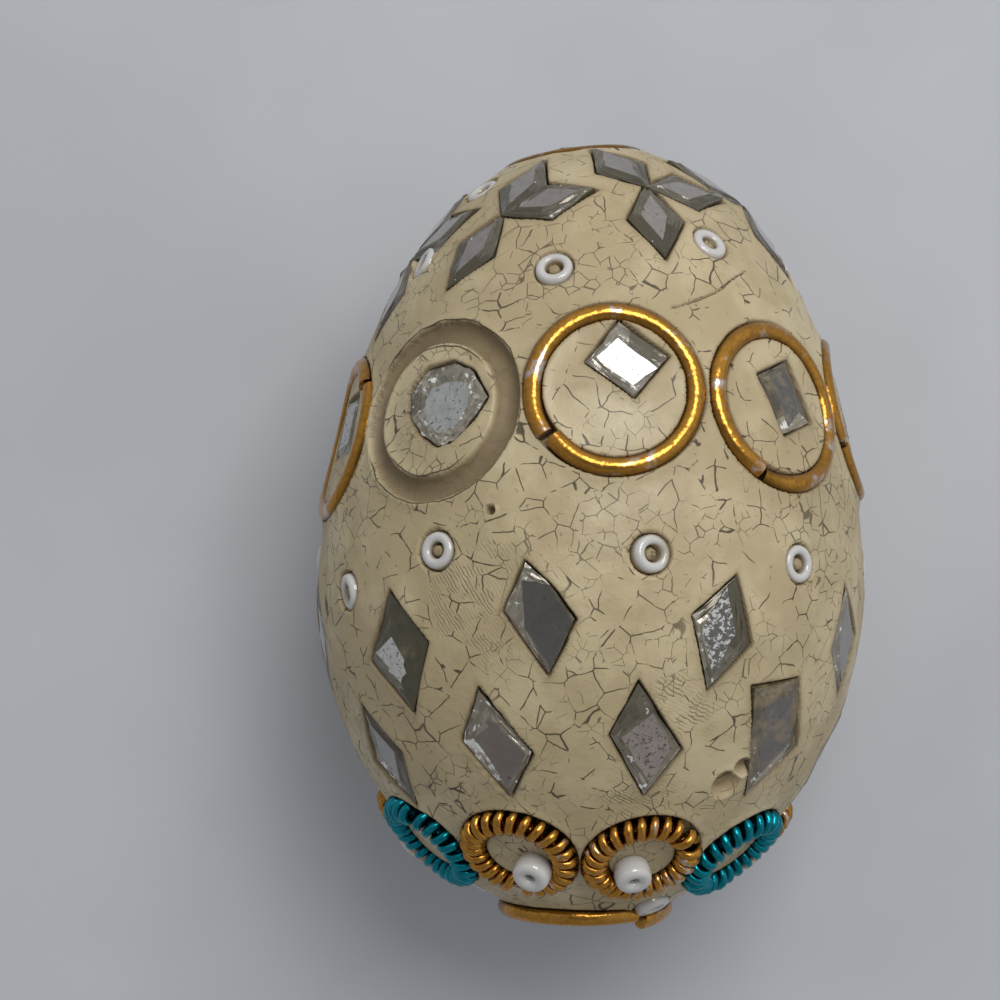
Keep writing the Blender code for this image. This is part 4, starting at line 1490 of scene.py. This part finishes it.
class EGG_OT_stage(bpy.types.Operator):
    """Set up the floor, the camera and the light"""

    bl_idname = "egg.stage"
    bl_label = "Floor, camera and light"

    def execute(self, context):
        """Make the stage."""
        form = EggForm(context.scene.egg_sizes)
        self.add_floor(context.scene.egg_colours)
        self.add_camera(context, form)
        self.add_light(context)
        self.add_sky(context)
        context.scene.view_settings.view_transform = "Standard"
        return {"FINISHED"}

    def add_floor(self, colours):
        """A plain pale floor."""
        bm = bmesh.new()
        bmesh.ops.create_grid(bm, x_segments=1, y_segments=1, size=1.0)
        floor = bpy.data.objects.new("floor", mesh_of(bm, "floor"))
        bpy.context.scene.collection.objects.link(floor)
        floor.data.materials.append(floor_material(colours))

    def add_camera(self, context, form):
        """A camera straight above the egg."""
        stage = context.scene.egg_stage
        camera = bpy.data.cameras.new("camera")
        camera.lens = stage.lens
        camera.clip_start = 0.01
        holder = bpy.data.objects.new("camera", camera)
        context.scene.collection.objects.link(holder)
        turn = Matrix.Rotation(stage.camera_turn, 4, "Z")
        shift = turn @ Vector((stage.camera_shift[0], stage.camera_shift[1], stage.camera_height))
        holder.matrix_world = Matrix.Translation(form.place.translation + shift) @ turn
        context.scene.camera = holder

    def add_light(self, context):
        """One large soft light at the upper right."""
        light = bpy.data.lights.new("window", "AREA")
        light.energy = context.scene.egg_stage.key_power
        light.size = LIGHT_SIZE
        light.color = LIGHT_COLOUR
        holder = bpy.data.objects.new("window", light)
        context.scene.collection.objects.link(holder)
        spot = Vector(LIGHT_PLACE)
        holder.matrix_world = Matrix.Translation(spot) @ spot.to_track_quat("Z", "Y").to_matrix().to_4x4()

    def add_sky(self, context):
        """Soft light from all round: dim straight above, bright at the far right."""
        world = bpy.data.worlds.new("room")
        context.scene.world = world
        sky = Finish(world)
        way = sky.node("TexCoord", {}, {}, "Generated")
        east, north, up = (sky.node("SeparateXYZ", {}, {0: way}, axis) for axis in "XYZ")
        sideways = (east * 0.45 + north * 0.85).ramp(-0.8, 1.0)
        brightness = 0.72 + 0.85 * sideways - 0.50 * up.ramp(0.78, 0.97)
        background = world.node_tree.nodes["Background"]
        sky.feed(background.inputs["Strength"], brightness * context.scene.egg_stage.sky)
        sky.feed(background.inputs["Color"], SKY_COLOUR)


OPERATORS = (EGG_OT_clay, EGG_OT_glass, EGG_OT_wires, EGG_OT_springs, EGG_OT_beads, EGG_OT_stage)
GROUPS = {"egg_sizes": EggSizes, "egg_colours": EggColours, "egg_stage": EggStage}


class EGG_PT_pieces(bpy.types.Panel):
    """The egg's pieces, in the order that they are made"""

    bl_idname = "EGG_PT_pieces"
    bl_label = "Decorative egg"
    bl_space_type = "VIEW_3D"
    bl_region_type = "UI"
    bl_category = "Egg"

    def draw(self, context):
        """One button for each piece, and the values below."""
        for operator in OPERATORS:
            self.layout.operator(operator.bl_idname)
        for name, group in GROUPS.items():
            box = self.layout.box()
            for value in group.__annotations__:
                box.prop(getattr(context.scene, name), value)


def register():
    """Add the values, the operators and the panel to Blender."""
    for item in (*GROUPS.values(), *OPERATORS, EGG_PT_pieces):
        bpy.utils.register_class(item)
    for name, group in GROUPS.items():
        setattr(bpy.types.Scene, name, PointerProperty(type=group))


def unregister():
    """Take them out again."""
    for name in GROUPS:
        delattr(bpy.types.Scene, name)
    for item in (EGG_PT_pieces, *reversed(OPERATORS), *GROUPS.values()):
        bpy.utils.unregister_class(item)


def main():
    """Make the egg and its stage."""
    register()
    for step in ("clay", "glass", "wires", "springs", "beads", "stage"):
        getattr(bpy.ops.egg, step)()


if __name__ == "__main__":
    main()
